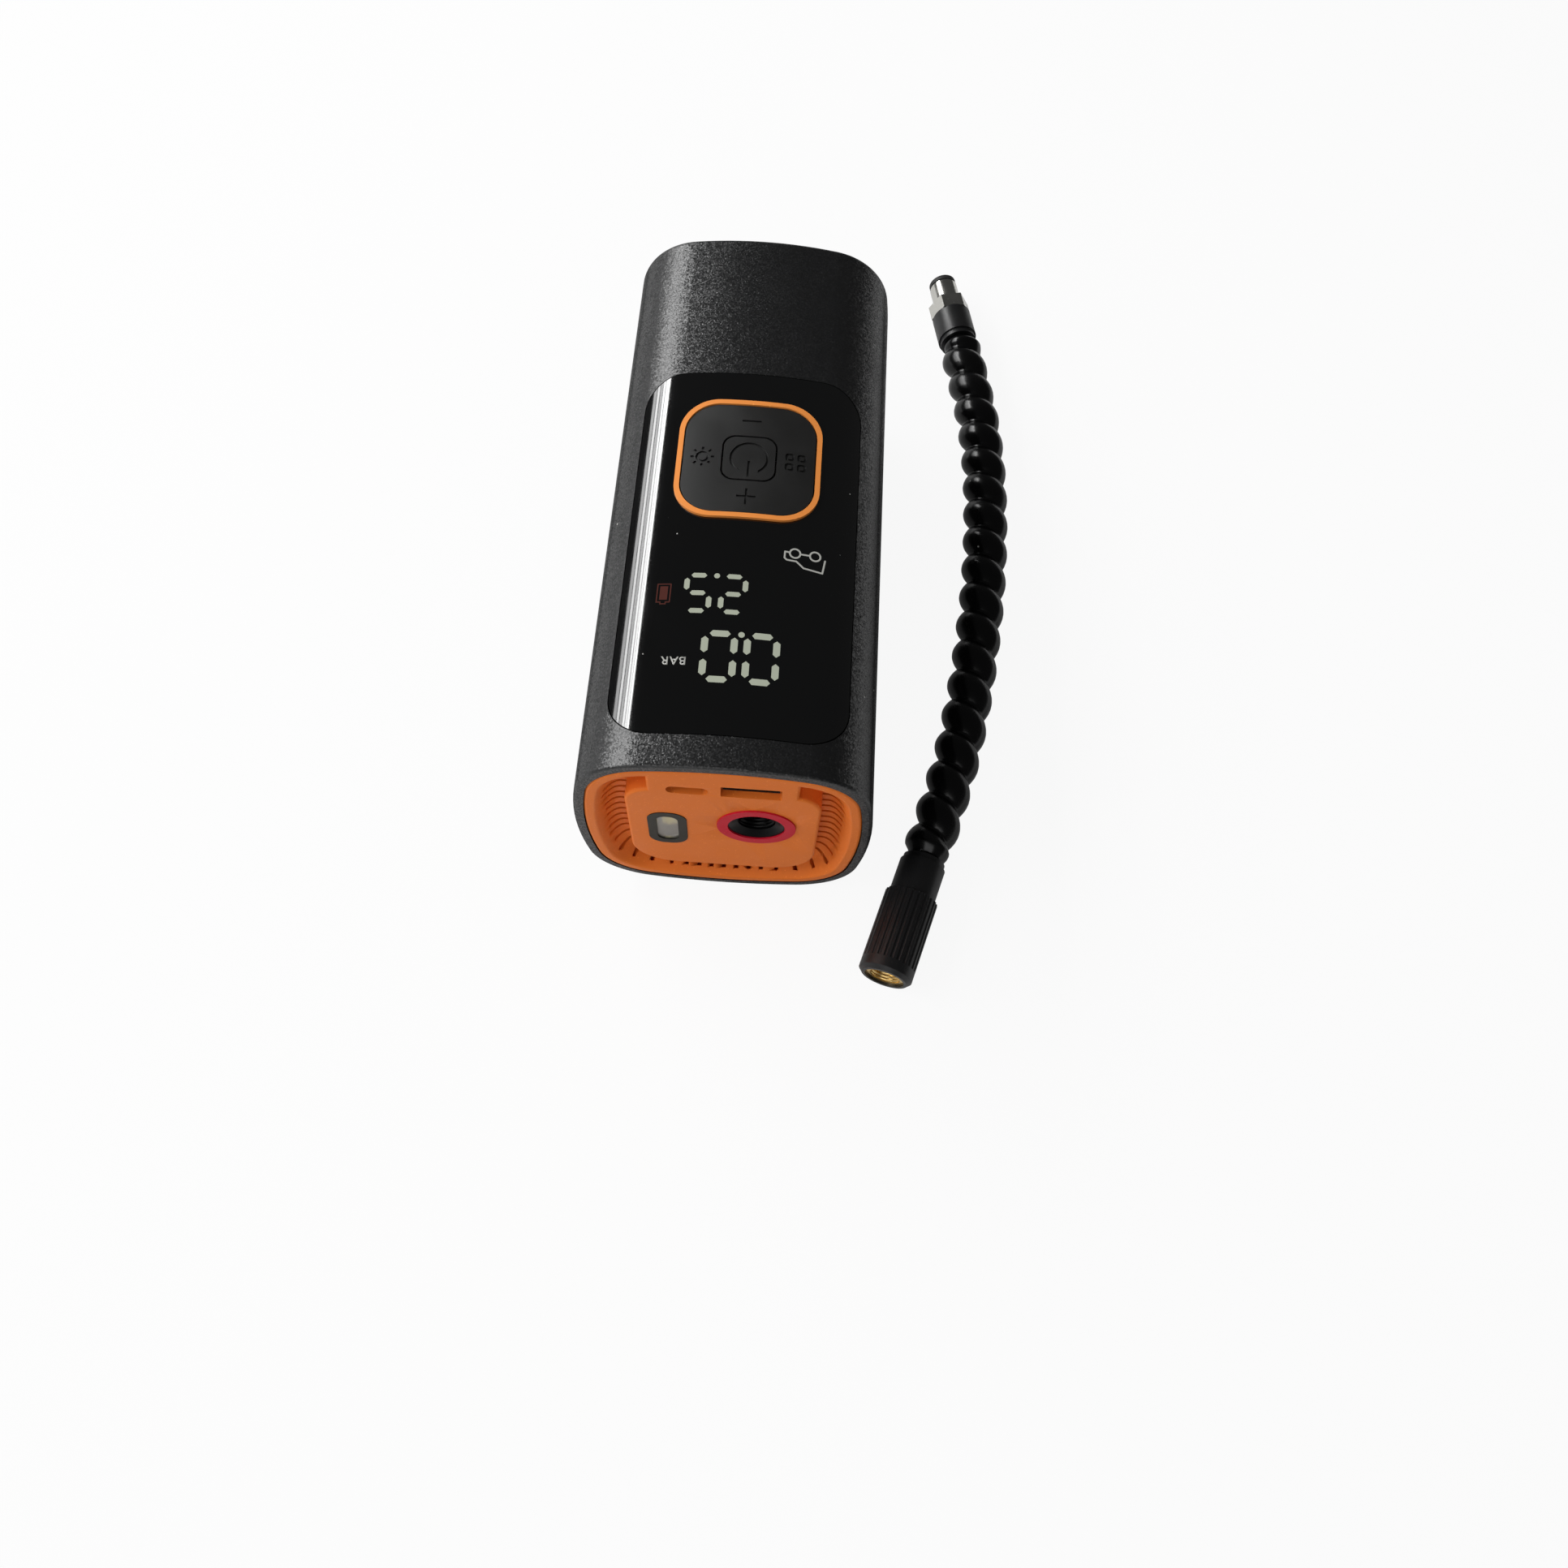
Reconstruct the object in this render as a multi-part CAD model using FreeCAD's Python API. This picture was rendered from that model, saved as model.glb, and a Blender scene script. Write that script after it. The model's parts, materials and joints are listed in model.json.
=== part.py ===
import FreeCAD, Part

import os
from math import acos, atan2, cos, degrees, pi, radians, sin, sqrt, tan

# Portable tyre inflator with its air hose lying beside it, in millimetres.
# Origin at the bottom centre of the body; +Z up through the display, -Y out of the orange front.

V = FreeCAD.Vector
UP = V(0, 0, 1)
RIGHT = V(1, 0, 0)
BACK = V(0, 1, 0)

# Body
BODY_W = 70.0
BODY_H = 69.0
BODY_L = 155.0
FLAT_DEPTH = 0.4
HALF_W = BODY_W / 2
HALF_H = (BODY_H + FLAT_DEPTH) / 2
MID_Z = BODY_H - HALF_H
CORNER_R = 18.0
CORNER_X = HALF_W - 19.3
CORNER_Z = HALF_H - 19.3
REAR_Y = BODY_L / 2
FRONT_Y = -REAR_Y + 0.4
WALL = 2.4
GAP = 0.3
FIT = 0.05
REAR_CAP_T = 4.0
JACK_Z = 48.0

# Top glass, ring and pad
LENS_HALF_W = 26.7
LENS_Y0 = -69.0
LENS_Y1 = 31.4
LENS_CORNER_R = 10.0
LENS_T = 1.2
LENS_GAP = 0.2
WINDOW_HALF_W = 16.0
WINDOW_Y0 = -59.0
WINDOW_Y1 = -15.5
PAD_Y = 5.2
RING_OUT = 34.7
RING_W = 1.25
RING_RISE = 0.7
PAD_RISE = 0.45
PAD_T = 2.8
KEY_SIDE = 12.5
KEY_GROOVE = 0.4
ICON_DEPTH = 0.35
ICON_LINE = 0.55
ICON_REACH = 11.2

# Front cap
CAP_DEPTH = 12.0
MOAT_DEPTH = 5.0
MOAT_PROFILE = ((2.6, 0.0), (3.1, 0.12), (3.8, 0.30), (4.5, 0.50), (5.2, 0.68), (6.0, 0.84),
                (6.9, 0.95), (7.8, 1.0))
MOAT_EDGE_X = 29.5
ISLAND_HALF_W = 22.4
ISLAND_Z0 = 12.6
ISLAND_Z1 = 56.0
ISLAND_TOP_R = 7.0
ISLAND_LOW_R = 11.0
EDGE_R = 0.8
BRIDGE_HALF_W = 17.0
CAP_SKIN = 2.0
SLOT_W = 1.0
SLOT_L = 5.5
SLOT_FROM = 1.9
SIDE_SLOTS = 8
LOW_SLOTS = 9
PORT_X = 7.8
PORT_Z = 39.0
PORT_RING_R = 9.27
PORT_R = 6.7
PORT_BORE_R = 4.4
PORT_CONE_L = 1.2
PORT_THREAD_L = 8.0
PORT_L = 15.0
OUTLET_Y = FRONT_Y + 13.0
OUTLET_Z = PORT_Z - 1.0
OUTLET_R = 1.75
LIGHT_X = -13.1
LIGHT_Z = 34.8
LIGHT_W = 9.3
LIGHT_H = 17.8
LIGHT_LENS_W = 5.1
LIGHT_LENS_H = 13.6
USB_A_X = 6.3
USB_A_Z = 57.3
USB_A_W = 13.6
USB_A_H = 5.0
USB_A_L = 13.5
USB_C_X = -8.0
USB_C_Z = 56.7
USB_C_W = 9.4
USB_C_H = 3.4
USB_C_L = 8.0

# Electronics
BOARD_Z = 56.2
BOARD_T = 1.5
BOARD_HALF_W = 21.0
BOARD_Y0 = -50.0
BOARD_Y1 = 30.0
SWITCH_SIDE = 4.5
SWITCH_BODY_H = 2.6
SWITCH_H = 3.8
SWITCH_REACH = 13.0
ROCK_Z = 64.0
ROCK_PIN_R = 0.7
EAR_REACH = 9.9

# Pump: motor on the middle line, crank to its left, cylinder to the right
AXIS_Z = 31.0
GEAR_MODULE = 0.8
PINION_TEETH = 12
GEAR_TEETH = 30
GEAR_Y = -39.5
GEAR_T = 4.0
PRESSURE_ANGLE = radians(20)
GEAR_PLAY = 0.12
CRANK_X = -GEAR_MODULE * (PINION_TEETH + GEAR_TEETH) / 2
THROW = 5.0
CRANK_PIN_R = 2.0
PLATE_Y = -34.3
PLATE_T = 2.5
MOTOR_R = 13.8
MOTOR_Y0 = PLATE_Y + PLATE_T
MOTOR_L = 30.0
SHAFT_R = 1.15
CYL_Y = -46.5
CYL_X0 = 6.0
CYL_X1 = 21.0
CYL_R = 12.0
BORE_R = 9.0
HEAD_L = 7.5
HEAD_SCREW_REACH = 9.7
SPRING_R = 2.0
SPRING_RISE = 0.6
SPRING_WIRE_R = 0.16
OUTLET_X = CYL_X1 + 3.8
PISTON_T = 3.5
ROD_T = 4.0

# Battery
CELL_R = 9.2
CELL_L = 65.0
CELL_Y0 = 7.5
CELL_Z = 20.0
CELL_PITCH = 19.5

# Hose, laid on the table beside the body; the route is its middle line at HOSE_Z
HOSE_Z = 6.9
HOSE_VALLEY_R = 4.5
HOSE_CREST_R = 6.5
HOSE_BORE_R = 2.6
RIB_PITCH = 9.8
HOSE_ROUTE = [
    (51.6, -70.0), (58.4, -47.5), (62.8, -25.8), (65.8, -4.2), (67.9, 17.8),
    (68.7, 39.8), (68.2, 61.8), (65.6, 83.6), (60.6, 107.0),
]
FERRULE_R = 6.0
FERRULE_L = 10.7
CHUCK_R = 6.9
CHUCK_L = 22.5
CHUCK_FLUTES = 26
CHUCK_THREAD_R = 3.95
INSERT_R = 5.1
SPIGOT_R = 3.6
SEAL_AT = 10.0
SEAL_T = 2.0
INLET_R = 4.3
INLET_L = 7.5


# Helpers

def disc_prism(radius, base, direction, length):
    """Cylinder from base along direction."""
    return Part.makeCylinder(radius, length, base, direction)


def tube(outer, inner, base, direction, length):
    """Pipe from base along direction."""
    hole = disc_prism(inner, base, direction, length)
    return disc_prism(outer, base, direction, length).cut(hole)


def block(x0, x1, y0, y1, z0, z1):
    """Box between two corners."""
    return Part.makeBox(x1 - x0, y1 - y0, z1 - z0, V(x0, y0, z0))


def shared(shapes):
    """One compound of separate solids, for pieces that share a node."""
    return Part.makeCompound([solid for shape in shapes for solid in shape.Solids])


def section_wire(inset, y):
    """Body section at y, drawn in by inset: four side arcs and four corner arcs, all tangent."""
    radius = CORNER_R - inset
    reach_x = HALF_W - inset - radius
    reach_z = HALF_H - inset - radius
    off_x = (CORNER_X**2 + CORNER_Z**2 - reach_x**2) / (2 * (reach_x - CORNER_X))
    off_z = (CORNER_X**2 + CORNER_Z**2 - reach_z**2) / (2 * (reach_z - CORNER_Z))
    side = atan2(CORNER_Z, CORNER_X + off_x)
    top = atan2(CORNER_Z + off_z, CORNER_X)

    def corner(angle, sx, sz):
        x = CORNER_X + radius * cos(angle)
        z = CORNER_Z + radius * sin(angle)
        return V(sx * x, y, MID_Z + sz * z)

    edges = []
    for sx, sz in ((1, 1), (-1, 1), (-1, -1), (1, -1)):
        ends = [corner(side, sx, sz), corner((side + top) / 2, sx, sz), corner(top, sx, sz)]
        next_sx, next_sz = (-sx, sz) if sx == sz else (sx, -sz)
        if sx == sz:
            middle = V(0, y, MID_Z + sz * (HALF_H - inset))
            nearby = corner(top, next_sx, next_sz)
        else:
            ends.reverse()
            middle = V(sx * (HALF_W - inset), y, MID_Z)
            nearby = corner(side, next_sx, next_sz)
        edges.append(Part.Arc(*ends).toShape())
        edges.append(Part.Arc(ends[2], middle, nearby).toShape())
    return Part.Wire(edges)


def section_prism(inset, y0, y1):
    """Solid of the body section between two stations."""
    return Part.Face(section_wire(inset, y0)).extrude(V(0, y1 - y0, 0))


def rounded_wire(x0, x1, y0, y1, radius):
    """Rounded rectangle in the XY plane."""
    diagonal = radius * (1 - sqrt(0.5))
    sides = [
        (V(x0 + radius, y0, 0), V(x1 - radius, y0, 0), V(x1 - diagonal, y0 + diagonal, 0)),
        (V(x1, y0 + radius, 0), V(x1, y1 - radius, 0), V(x1 - diagonal, y1 - diagonal, 0)),
        (V(x1 - radius, y1, 0), V(x0 + radius, y1, 0), V(x0 + diagonal, y1 - diagonal, 0)),
        (V(x0, y1 - radius, 0), V(x0, y0 + radius, 0), V(x0 + diagonal, y0 + diagonal, 0)),
    ]
    edges = []
    for i, (start, end, middle) in enumerate(sides):
        if start.distanceToPoint(end) > 1e-6:
            edges.append(Part.makeLine(start, end))
        edges.append(Part.Arc(end, middle, sides[(i + 1) % 4][0]).toShape())
    return Part.Wire(edges)


def plan_prism(x0, x1, y0, y1, radius, z0, z1):
    """Upright prism with a rounded rectangular plan."""
    prism = Part.Face(rounded_wire(x0, x1, y0, y1, radius)).extrude(V(0, 0, z1 - z0))
    prism.translate(V(0, 0, z0))
    return prism


def front_prism(x, z, width, height, radius, y0, y1):
    """Prism along Y whose front view is a rounded rectangle about (x, z)."""
    face = Part.Face(rounded_wire(-width / 2, width / 2, -height / 2, height / 2, radius))
    prism = face.extrude(V(0, 0, y1 - y0))
    prism.rotate(V(), RIGHT, -90)
    prism.translate(V(x, y0, z))
    return prism


def skin(inset_out, inset_in, plan):
    """Top skin between two insets of the section, cut to a plan."""
    outer = section_prism(inset_out, -REAR_Y, REAR_Y)
    return outer.cut(section_prism(inset_in, -REAR_Y, REAR_Y)).common(plan)


def pad_plan(side, radius, z0=MID_Z):
    """Square plan about the pad's middle."""
    half = side / 2
    return plan_prism(-half, half, PAD_Y - half, PAD_Y + half, radius, z0, BODY_H + 4)


def corners(x, z, base_x=0.0, base_z=0.0):
    """The four places at plus and minus x and z."""
    return [(base_x + sx * x, base_z + sz * z) for sx in (-1, 1) for sz in (-1, 1)]


# Case

def make_housing():
    """Sleeve of the body with the glass ledge, display window and pad opening."""
    sleeve = section_prism(0, FRONT_Y, REAR_Y - REAR_CAP_T)
    mouth_edges = [e for e in sleeve.Edges if e.BoundBox.YMax < FRONT_Y + 0.01]
    sleeve = sleeve.makeFillet(0.9, mouth_edges)
    sleeve = sleeve.cut(section_prism(WALL, FRONT_Y, REAR_Y))
    lens_plan = plan_prism(-LENS_HALF_W - LENS_GAP, LENS_HALF_W + LENS_GAP,
                           LENS_Y0 - LENS_GAP, LENS_Y1 + LENS_GAP, LENS_CORNER_R, MID_Z, BODY_H + 4)
    sleeve = sleeve.cut(skin(-1, LENS_T + FIT, lens_plan))
    sleeve = sleeve.cut(plan_prism(-WINDOW_HALF_W, WINDOW_HALF_W, WINDOW_Y0, WINDOW_Y1, 2,
                                   MID_Z, BODY_H))
    sleeve = sleeve.cut(pad_plan(RING_OUT - 2 * RING_W, 8.5))
    sleeve = sleeve.fuse(screw_posts())
    return sleeve.cut(block(-HALF_W, HALF_W, -REAR_Y, REAR_Y, -FLAT_DEPTH, 0))


def make_front_cap():
    """Orange front: rim, hollowed moat with louvres, raised island and the flush bridge."""
    y_back = FRONT_Y + CAP_DEPTH
    cap = section_prism(WALL + FIT, FRONT_Y, y_back)
    cap = cap.cut(section_prism(WALL + 2, FRONT_Y + MOAT_DEPTH + CAP_SKIN, y_back))
    moat = Part.makeLoft([section_wire(WALL + inset, FRONT_Y + MOAT_DEPTH * share)
                          for inset, share in MOAT_PROFILE], True)
    bridge = front_prism(0, ISLAND_Z1 + 1, 2 * BRIDGE_HALF_W, 20, 1,
                         FRONT_Y - 1, FRONT_Y + MOAT_DEPTH)
    stand = island_prism(0, FRONT_Y - 1, FRONT_Y + MOAT_DEPTH).fuse(bridge).removeSplitter()
    cap = cap.cut(moat.cut(stand))
    soft_edges = [e for e in cap.Edges if e.BoundBox.YMax < FRONT_Y + 0.01
                  and max(abs(e.BoundBox.XMin), abs(e.BoundBox.XMax)) < MOAT_EDGE_X
                  and e.BoundBox.ZMin > ISLAND_Z0 - 3]
    cap = cap.makeFillet(EDGE_R, soft_edges)
    inner_bridge = front_prism(0, ISLAND_Z1 + 1, 2 * (BRIDGE_HALF_W - CAP_SKIN), 9, 1,
                               FRONT_Y + CAP_SKIN, y_back)
    cap = cap.cut(island_prism(CAP_SKIN, FRONT_Y + CAP_SKIN, y_back)).cut(inner_bridge)
    for slot in cap_slots():
        cap = cap.cut(slot)
    cap = cap.cut(disc_prism(PORT_RING_R, V(PORT_X, FRONT_Y - 1, PORT_Z), BACK, 2.2))
    cap = cap.cut(disc_prism(PORT_R, V(PORT_X, FRONT_Y - 1, PORT_Z), BACK, CAP_DEPTH))
    cap = cap.cut(front_prism(LIGHT_X, LIGHT_Z, LIGHT_W, LIGHT_H, 4, FRONT_Y - 1, y_back))
    cap = cap.cut(front_prism(USB_A_X, USB_A_Z, USB_A_W, USB_A_H, 0.4, FRONT_Y - 1, y_back))
    return cap.cut(front_prism(USB_C_X, USB_C_Z, USB_C_W, USB_C_H, 1.6, FRONT_Y - 1, y_back))


def island_prism(shrink, y0, y1):
    """Island of the front cap, drawn in by shrink; its lower corners are rounder."""
    width = 2 * (ISLAND_HALF_W - shrink)
    height = ISLAND_Z1 - ISLAND_Z0 - 2 * shrink
    middle = (ISLAND_Z0 + ISLAND_Z1) / 2
    whole = front_prism(0, middle, width, height, ISLAND_LOW_R - shrink, y0, y1)
    upper = front_prism(0, middle + height / 4, width, height / 2, ISLAND_TOP_R - shrink, y0, y1)
    return whole.fuse(upper).removeSplitter()


def slot_at(x, z, angle):
    """One louvre slot that starts at the island's wall at (x, z) and runs outwards."""
    slot = block(-0.1, SLOT_L, FRONT_Y + SLOT_FROM, FRONT_Y + MOAT_DEPTH + CAP_SKIN + 1,
                 -SLOT_W / 2, SLOT_W / 2)
    slot.rotate(V(), BACK, -angle)
    slot.translate(V(x, 0, z))
    return slot


def cap_slots():
    """Louvre slots up both sides of the island, round its low corners and along the bottom."""
    slots = [slot_at(0, ISLAND_Z0, -90)]
    flat = ISLAND_HALF_W - ISLAND_LOW_R
    arc = ISLAND_LOW_R * pi / 2
    corner_z = ISLAND_Z0 + ISLAND_LOW_R
    for i in range(-SIDE_SLOTS, LOW_SLOTS):
        along = i * (arc + flat) / LOW_SLOTS
        turn = min(max(along / ISLAND_LOW_R, 0), pi / 2)
        x = flat + ISLAND_LOW_R * cos(turn) - max(along - arc, 0)
        z = corner_z - ISLAND_LOW_R * sin(turn) - min(along, 0)
        slots.append(slot_at(x, z, -degrees(turn)))
        slots.append(slot_at(-x, z, 180 + degrees(turn)))
    return slots


def make_rear_cap():
    """Black end cap with an inner spigot, the charging socket's hole and four screw holes."""
    y0 = REAR_Y - REAR_CAP_T
    cap = section_prism(0, y0, REAR_Y)
    far_edges = [e for e in cap.Edges if e.BoundBox.YMin > REAR_Y - 0.01]
    cap = cap.makeFillet(1.5, far_edges)
    spigot = section_prism(WALL + FIT, y0 - 4, y0).cut(section_prism(WALL + 2, y0 - 4, y0))
    cap = cap.fuse(spigot)
    cap = cap.cut(disc_prism(4.5, V(0, y0 - 1, JACK_Z), BACK, 10))
    for x, z in screw_places():
        cap = cap.cut(disc_prism(1.6, V(x, y0 - 1, z), BACK, 10))
        cap = cap.cut(disc_prism(2.9, V(x, REAR_Y - 2, z), BACK, 10))
    return cap.cut(block(-HALF_W, HALF_W, -REAR_Y, REAR_Y + 1, -FLAT_DEPTH, 0))


def screw_places():
    """The rear cap's four screws: two high at the sides, two low between the cells."""
    low_x = CELL_PITCH / 2
    return [(-22, 55.0), (22, 55.0), (-low_x, 8.5), (low_x, 8.5)]


def screw_posts():
    """Four posts inside the case, webbed to its wall, that the rear cap's screws bite into."""
    y1 = REAR_Y - REAR_CAP_T - 4.2
    y0 = y1 - 9
    inside = section_prism(WALL - 0.5, y0, y1)
    posts = []
    for x, z in screw_places():
        post = disc_prism(2.8, V(x, y0, z), BACK, 9)
        if z > MID_Z:
            web = block(*sorted((x, HALF_W if x > 0 else -HALF_W)), y0, y1, z - 1.2, z + 1.2)
        else:
            web = block(x - 1.2, x + 1.2, y0, y1, 0, z)
        post = post.fuse(web.common(inside))
        posts.append(post.cut(disc_prism(1.25, V(x, y0, z), BACK, 9)).cut(cell_space(GAP)))
    return posts


def make_screw(x, z):
    """Cap screw with a flat head and a cross recess, driven along -Y."""
    y_head = REAR_Y - 2
    screw = disc_prism(2.8, V(x, y_head, z), BACK, 1.6)
    screw = screw.fuse(disc_prism(1.25, V(x, y_head - 8, z), BACK, 8))
    for wide, tall in ((2.6, 0.6), (0.6, 2.6)):
        screw = screw.cut(front_prism(x, z, wide, tall, 0.2, y_head + 0.6, y_head + 2))
    return screw


def make_case_screws():
    """Four screws that hold the rear cap."""
    return shared([make_screw(x, z) for x, z in screw_places()])


def make_display_lens():
    """Curved glossy window, flush with the case and open for the pad ring."""
    plan = plan_prism(-LENS_HALF_W, LENS_HALF_W, LENS_Y0, LENS_Y1, LENS_CORNER_R,
                      MID_Z, BODY_H + 4)
    lens = skin(0, LENS_T, plan)
    return lens.cut(pad_plan(RING_OUT + 2 * FIT, 9.5))


def make_pad_ring():
    """Slim orange frame round the pad, a little proud of the glass."""
    ring = skin(-RING_RISE, LENS_T + FIT, pad_plan(RING_OUT, 9.5))
    return ring.cut(pad_plan(RING_OUT - 2 * RING_W, 8.5))


def engrave(shape, tool):
    """Cut the tool into the pad's curved top by the icon depth."""
    cutter = tool.common(section_prism(-PAD_RISE - 1, -REAR_Y, REAR_Y))
    return shape.cut(cutter.cut(section_prism(ICON_DEPTH - PAD_RISE, -REAR_Y, REAR_Y)))


def icon_bar(x, y, length, angle):
    """Straight engraved stroke about (x, y)."""
    half = length / 2
    bar = block(-half, half, -ICON_LINE / 2, ICON_LINE / 2, BODY_H - 4, BODY_H + 4)
    bar.rotate(V(), UP, angle)
    bar.translate(V(x, y, 0))
    return bar


def icon_ring(x, y, radius):
    """Round engraved stroke about (x, y)."""
    base = V(x, y, BODY_H - 4)
    return tube(radius + ICON_LINE / 2, radius - ICON_LINE / 2, base, UP, 8)


def icon_square(x, y, side):
    """Rounded square stroke about (x, y)."""
    half = side / 2
    outer = plan_prism(x - half, x + half, y - half, y + half, 0.7, BODY_H - 4, BODY_H + 4)
    half -= ICON_LINE
    inner = plan_prism(x - half, x + half, y - half, y + half, 0.3, BODY_H - 4, BODY_H + 4)
    return outer.cut(inner)


def make_control_pad():
    """Soft rocker pad with engraved icons, four posts over the switches and two pivot ears."""
    side = RING_OUT - 2 * RING_W - 2 * GAP
    pad = skin(-PAD_RISE, PAD_T - PAD_RISE, pad_plan(side, 8.2))
    pad = pad.cut(pad_plan(KEY_SIDE + 2 * KEY_GROOVE, 3.2))
    pad = engrave(pad, icon_bar(0, PAD_Y - ICON_REACH, 4.6, 0))
    pad = engrave(pad, icon_bar(0, PAD_Y - ICON_REACH, 4.6, 90))
    pad = engrave(pad, icon_bar(0, PAD_Y + ICON_REACH, 4.6, 0))
    pad = engrave(pad, icon_ring(-ICON_REACH, PAD_Y, 1.35))
    for i in range(8):
        turn = radians(45 * i)
        x = -ICON_REACH + 2.45 * cos(turn)
        pad = engrave(pad, icon_bar(x, PAD_Y + 2.45 * sin(turn), 0.8, 45 * i))
    for x, y in corners(1.45, 1.45, ICON_REACH, PAD_Y):
        pad = engrave(pad, icon_square(x, y, 2.2))
    under = section_prism(PAD_T - PAD_RISE - 0.5, -REAR_Y, REAR_Y)
    for x, y in switch_places():
        post = disc_prism(1.2, V(x, y, BOARD_Z + BOARD_T + SWITCH_H + 0.5), UP, 8)
        pad = pad.fuse(post.common(under))
    for sy in (-1, 1):
        y = PAD_Y + sy * EAR_REACH
        ear = block(-1.8, 1.8, y - 0.65, y + 0.65, ROCK_Z - 1.6, BODY_H).common(under)
        ear = ear.cut(disc_prism(ROCK_PIN_R + FIT, V(0, y - 1, ROCK_Z), BACK, 2))
        pad = pad.fuse(ear)
    return pad


def make_pad_gimbal():
    """Square ring with four stub pins that lets the pad rock both ways."""
    ring = plan_prism(-8.9, 8.9, PAD_Y - 8.9, PAD_Y + 8.9, 1.5, ROCK_Z - 0.9, ROCK_Z + 0.9)
    ring = ring.cut(pad_plan(14.8, 1))
    for direction in (RIGHT, -RIGHT, BACK, -BACK):
        start = V(0, PAD_Y, ROCK_Z) + direction * 8
        ring = ring.fuse(disc_prism(ROCK_PIN_R, start, direction, 2.5))
    return ring


def make_pad_base():
    """Low bracket on the board with the two ears that carry the gimbal."""
    z0 = BOARD_Z + BOARD_T
    base = plan_prism(-10.55, 10.55, PAD_Y - 8.5, PAD_Y + 8.5, 1, z0, z0 + 1)
    base = base.cut(pad_plan(11, 1))
    for sx in (-1, 1):
        x = sx * EAR_REACH
        ear = block(x - 0.65, x + 0.65, PAD_Y - 1.8, PAD_Y + 1.8, z0, ROCK_Z + 1.5)
        ear = ear.cut(disc_prism(ROCK_PIN_R + FIT, V(x - 1, PAD_Y, ROCK_Z), RIGHT, 2))
        base = base.fuse(ear)
    return base


def make_power_button():
    """Square key in the pad's middle with the engraved power mark and a stem."""
    key = skin(-PAD_RISE, 3.0, pad_plan(KEY_SIDE, 3))
    arc = icon_ring(0, PAD_Y, 4.4)
    wedge = block(-2.3, 2.3, PAD_Y - 8, PAD_Y, BODY_H - 4, BODY_H + 4)
    key = engrave(key, arc.cut(wedge))
    key = engrave(key, icon_bar(0, PAD_Y - 3.1, 4.6, 90))
    stem = disc_prism(2, V(0, PAD_Y, BOARD_Z + BOARD_T + SWITCH_H + 0.5), UP, 6)
    return key.fuse(stem.common(section_prism(2, -REAR_Y, REAR_Y)))


# Front fittings

def make_port_ring():
    """Red ring round the air port, slightly proud of the island."""
    return tube(PORT_RING_R - FIT, PORT_R, V(PORT_X, FRONT_Y - 0.4, PORT_Z), BACK, 1.6)


def make_port_insert():
    """Air port: wide mouth, threaded bore and a side barb for the outlet tube."""
    base = V(PORT_X, FRONT_Y, PORT_Z)
    body = disc_prism(PORT_R - FIT, base, BACK, PORT_L)
    body = body.cut(Part.makeCone(PORT_R - 0.5, PORT_BORE_R, PORT_CONE_L, base, BACK))
    body = body.cut(disc_prism(PORT_BORE_R, base, BACK, PORT_CONE_L + PORT_THREAD_L))
    side = V(PORT_X, OUTLET_Y, OUTLET_Z)
    barb = disc_prism(OUTLET_R, side, RIGHT, PORT_R + 4)
    body = body.fuse(barb.cut(disc_prism(PORT_R - 1, base, BACK, PORT_L)))
    body = body.cut(disc_prism(0.9, side, RIGHT, 20))
    return body.cut(disc_prism(0.9, base + BACK * 10, BACK, OUTLET_Y - FRONT_Y - 10))


def make_light_bezel():
    """Dark rounded frame of the work light."""
    y0 = FRONT_Y - 0.2
    bezel = front_prism(LIGHT_X, LIGHT_Z, LIGHT_W - 2 * FIT, LIGHT_H - 2 * FIT, 3.9, y0, y0 + 5)
    return bezel.cut(front_prism(LIGHT_X, LIGHT_Z, LIGHT_LENS_W, LIGHT_LENS_H, 2.3, y0, y0 + 5))


def make_light_lens():
    """Milky window of the work light."""
    y0 = FRONT_Y + 0.2
    return front_prism(LIGHT_X, LIGHT_Z, LIGHT_LENS_W - 2 * FIT, LIGHT_LENS_H - 2 * FIT, 2.2,
                       y0, y0 + 1.4)


def make_light_board():
    """Small upright board behind the work light."""
    y0 = FRONT_Y + 5.2
    return block(LIGHT_X - 5, LIGHT_X + 5, y0, y0 + 1, LIGHT_Z - 10, LIGHT_Z + 10)


def make_leds():
    """Two light emitters, one above the other."""
    y1 = FRONT_Y + 5.2
    chips = []
    for dz in (-3, 3):
        z = LIGHT_Z + dz
        chip = block(LIGHT_X - 1.75, LIGHT_X + 1.75, y1 - 1, y1, z - 1.75, z + 1.75)
        chips.append(chip.fuse(Part.makeSphere(1.0, V(LIGHT_X, y1 - 1, z))))
    return shared(chips)


def make_usb_shell(x, z, width, height, radius, length):
    """Folded metal sleeve of a socket, closed at the back."""
    y0 = FRONT_Y + 1.6
    outer = front_prism(x, z, width - 2 * FIT, height - 2 * FIT, radius, y0, y0 + length)
    inner = front_prism(x, z, width - 0.8, height - 0.8, radius - 0.3, y0, y0 + length - 0.5)
    return outer.cut(inner)


def usb_tongue(x, z, width, thickness, length, shell_length):
    """Contact tongue with a thicker root against the socket's back."""
    y1 = FRONT_Y + 1.6 + shell_length - 0.5
    tongue = block(x - width / 2, x + width / 2, y1 - length, y1,
                   z - thickness / 2, z + thickness / 2)
    root = block(x - width / 2, x + width / 2, y1 - 1, y1,
                 z - 0.75 * thickness, z + 0.75 * thickness)
    return tongue.fuse(root)


def make_usb_tongues():
    """The contact tongues of both sockets."""
    wide = usb_tongue(USB_A_X, USB_A_Z + 0.9, 11.2, 1.3, 9.5, USB_A_L)
    slim = usb_tongue(USB_C_X, USB_C_Z, 6.7, 0.7, 5.5, USB_C_L)
    return shared([wide, slim])


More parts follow.
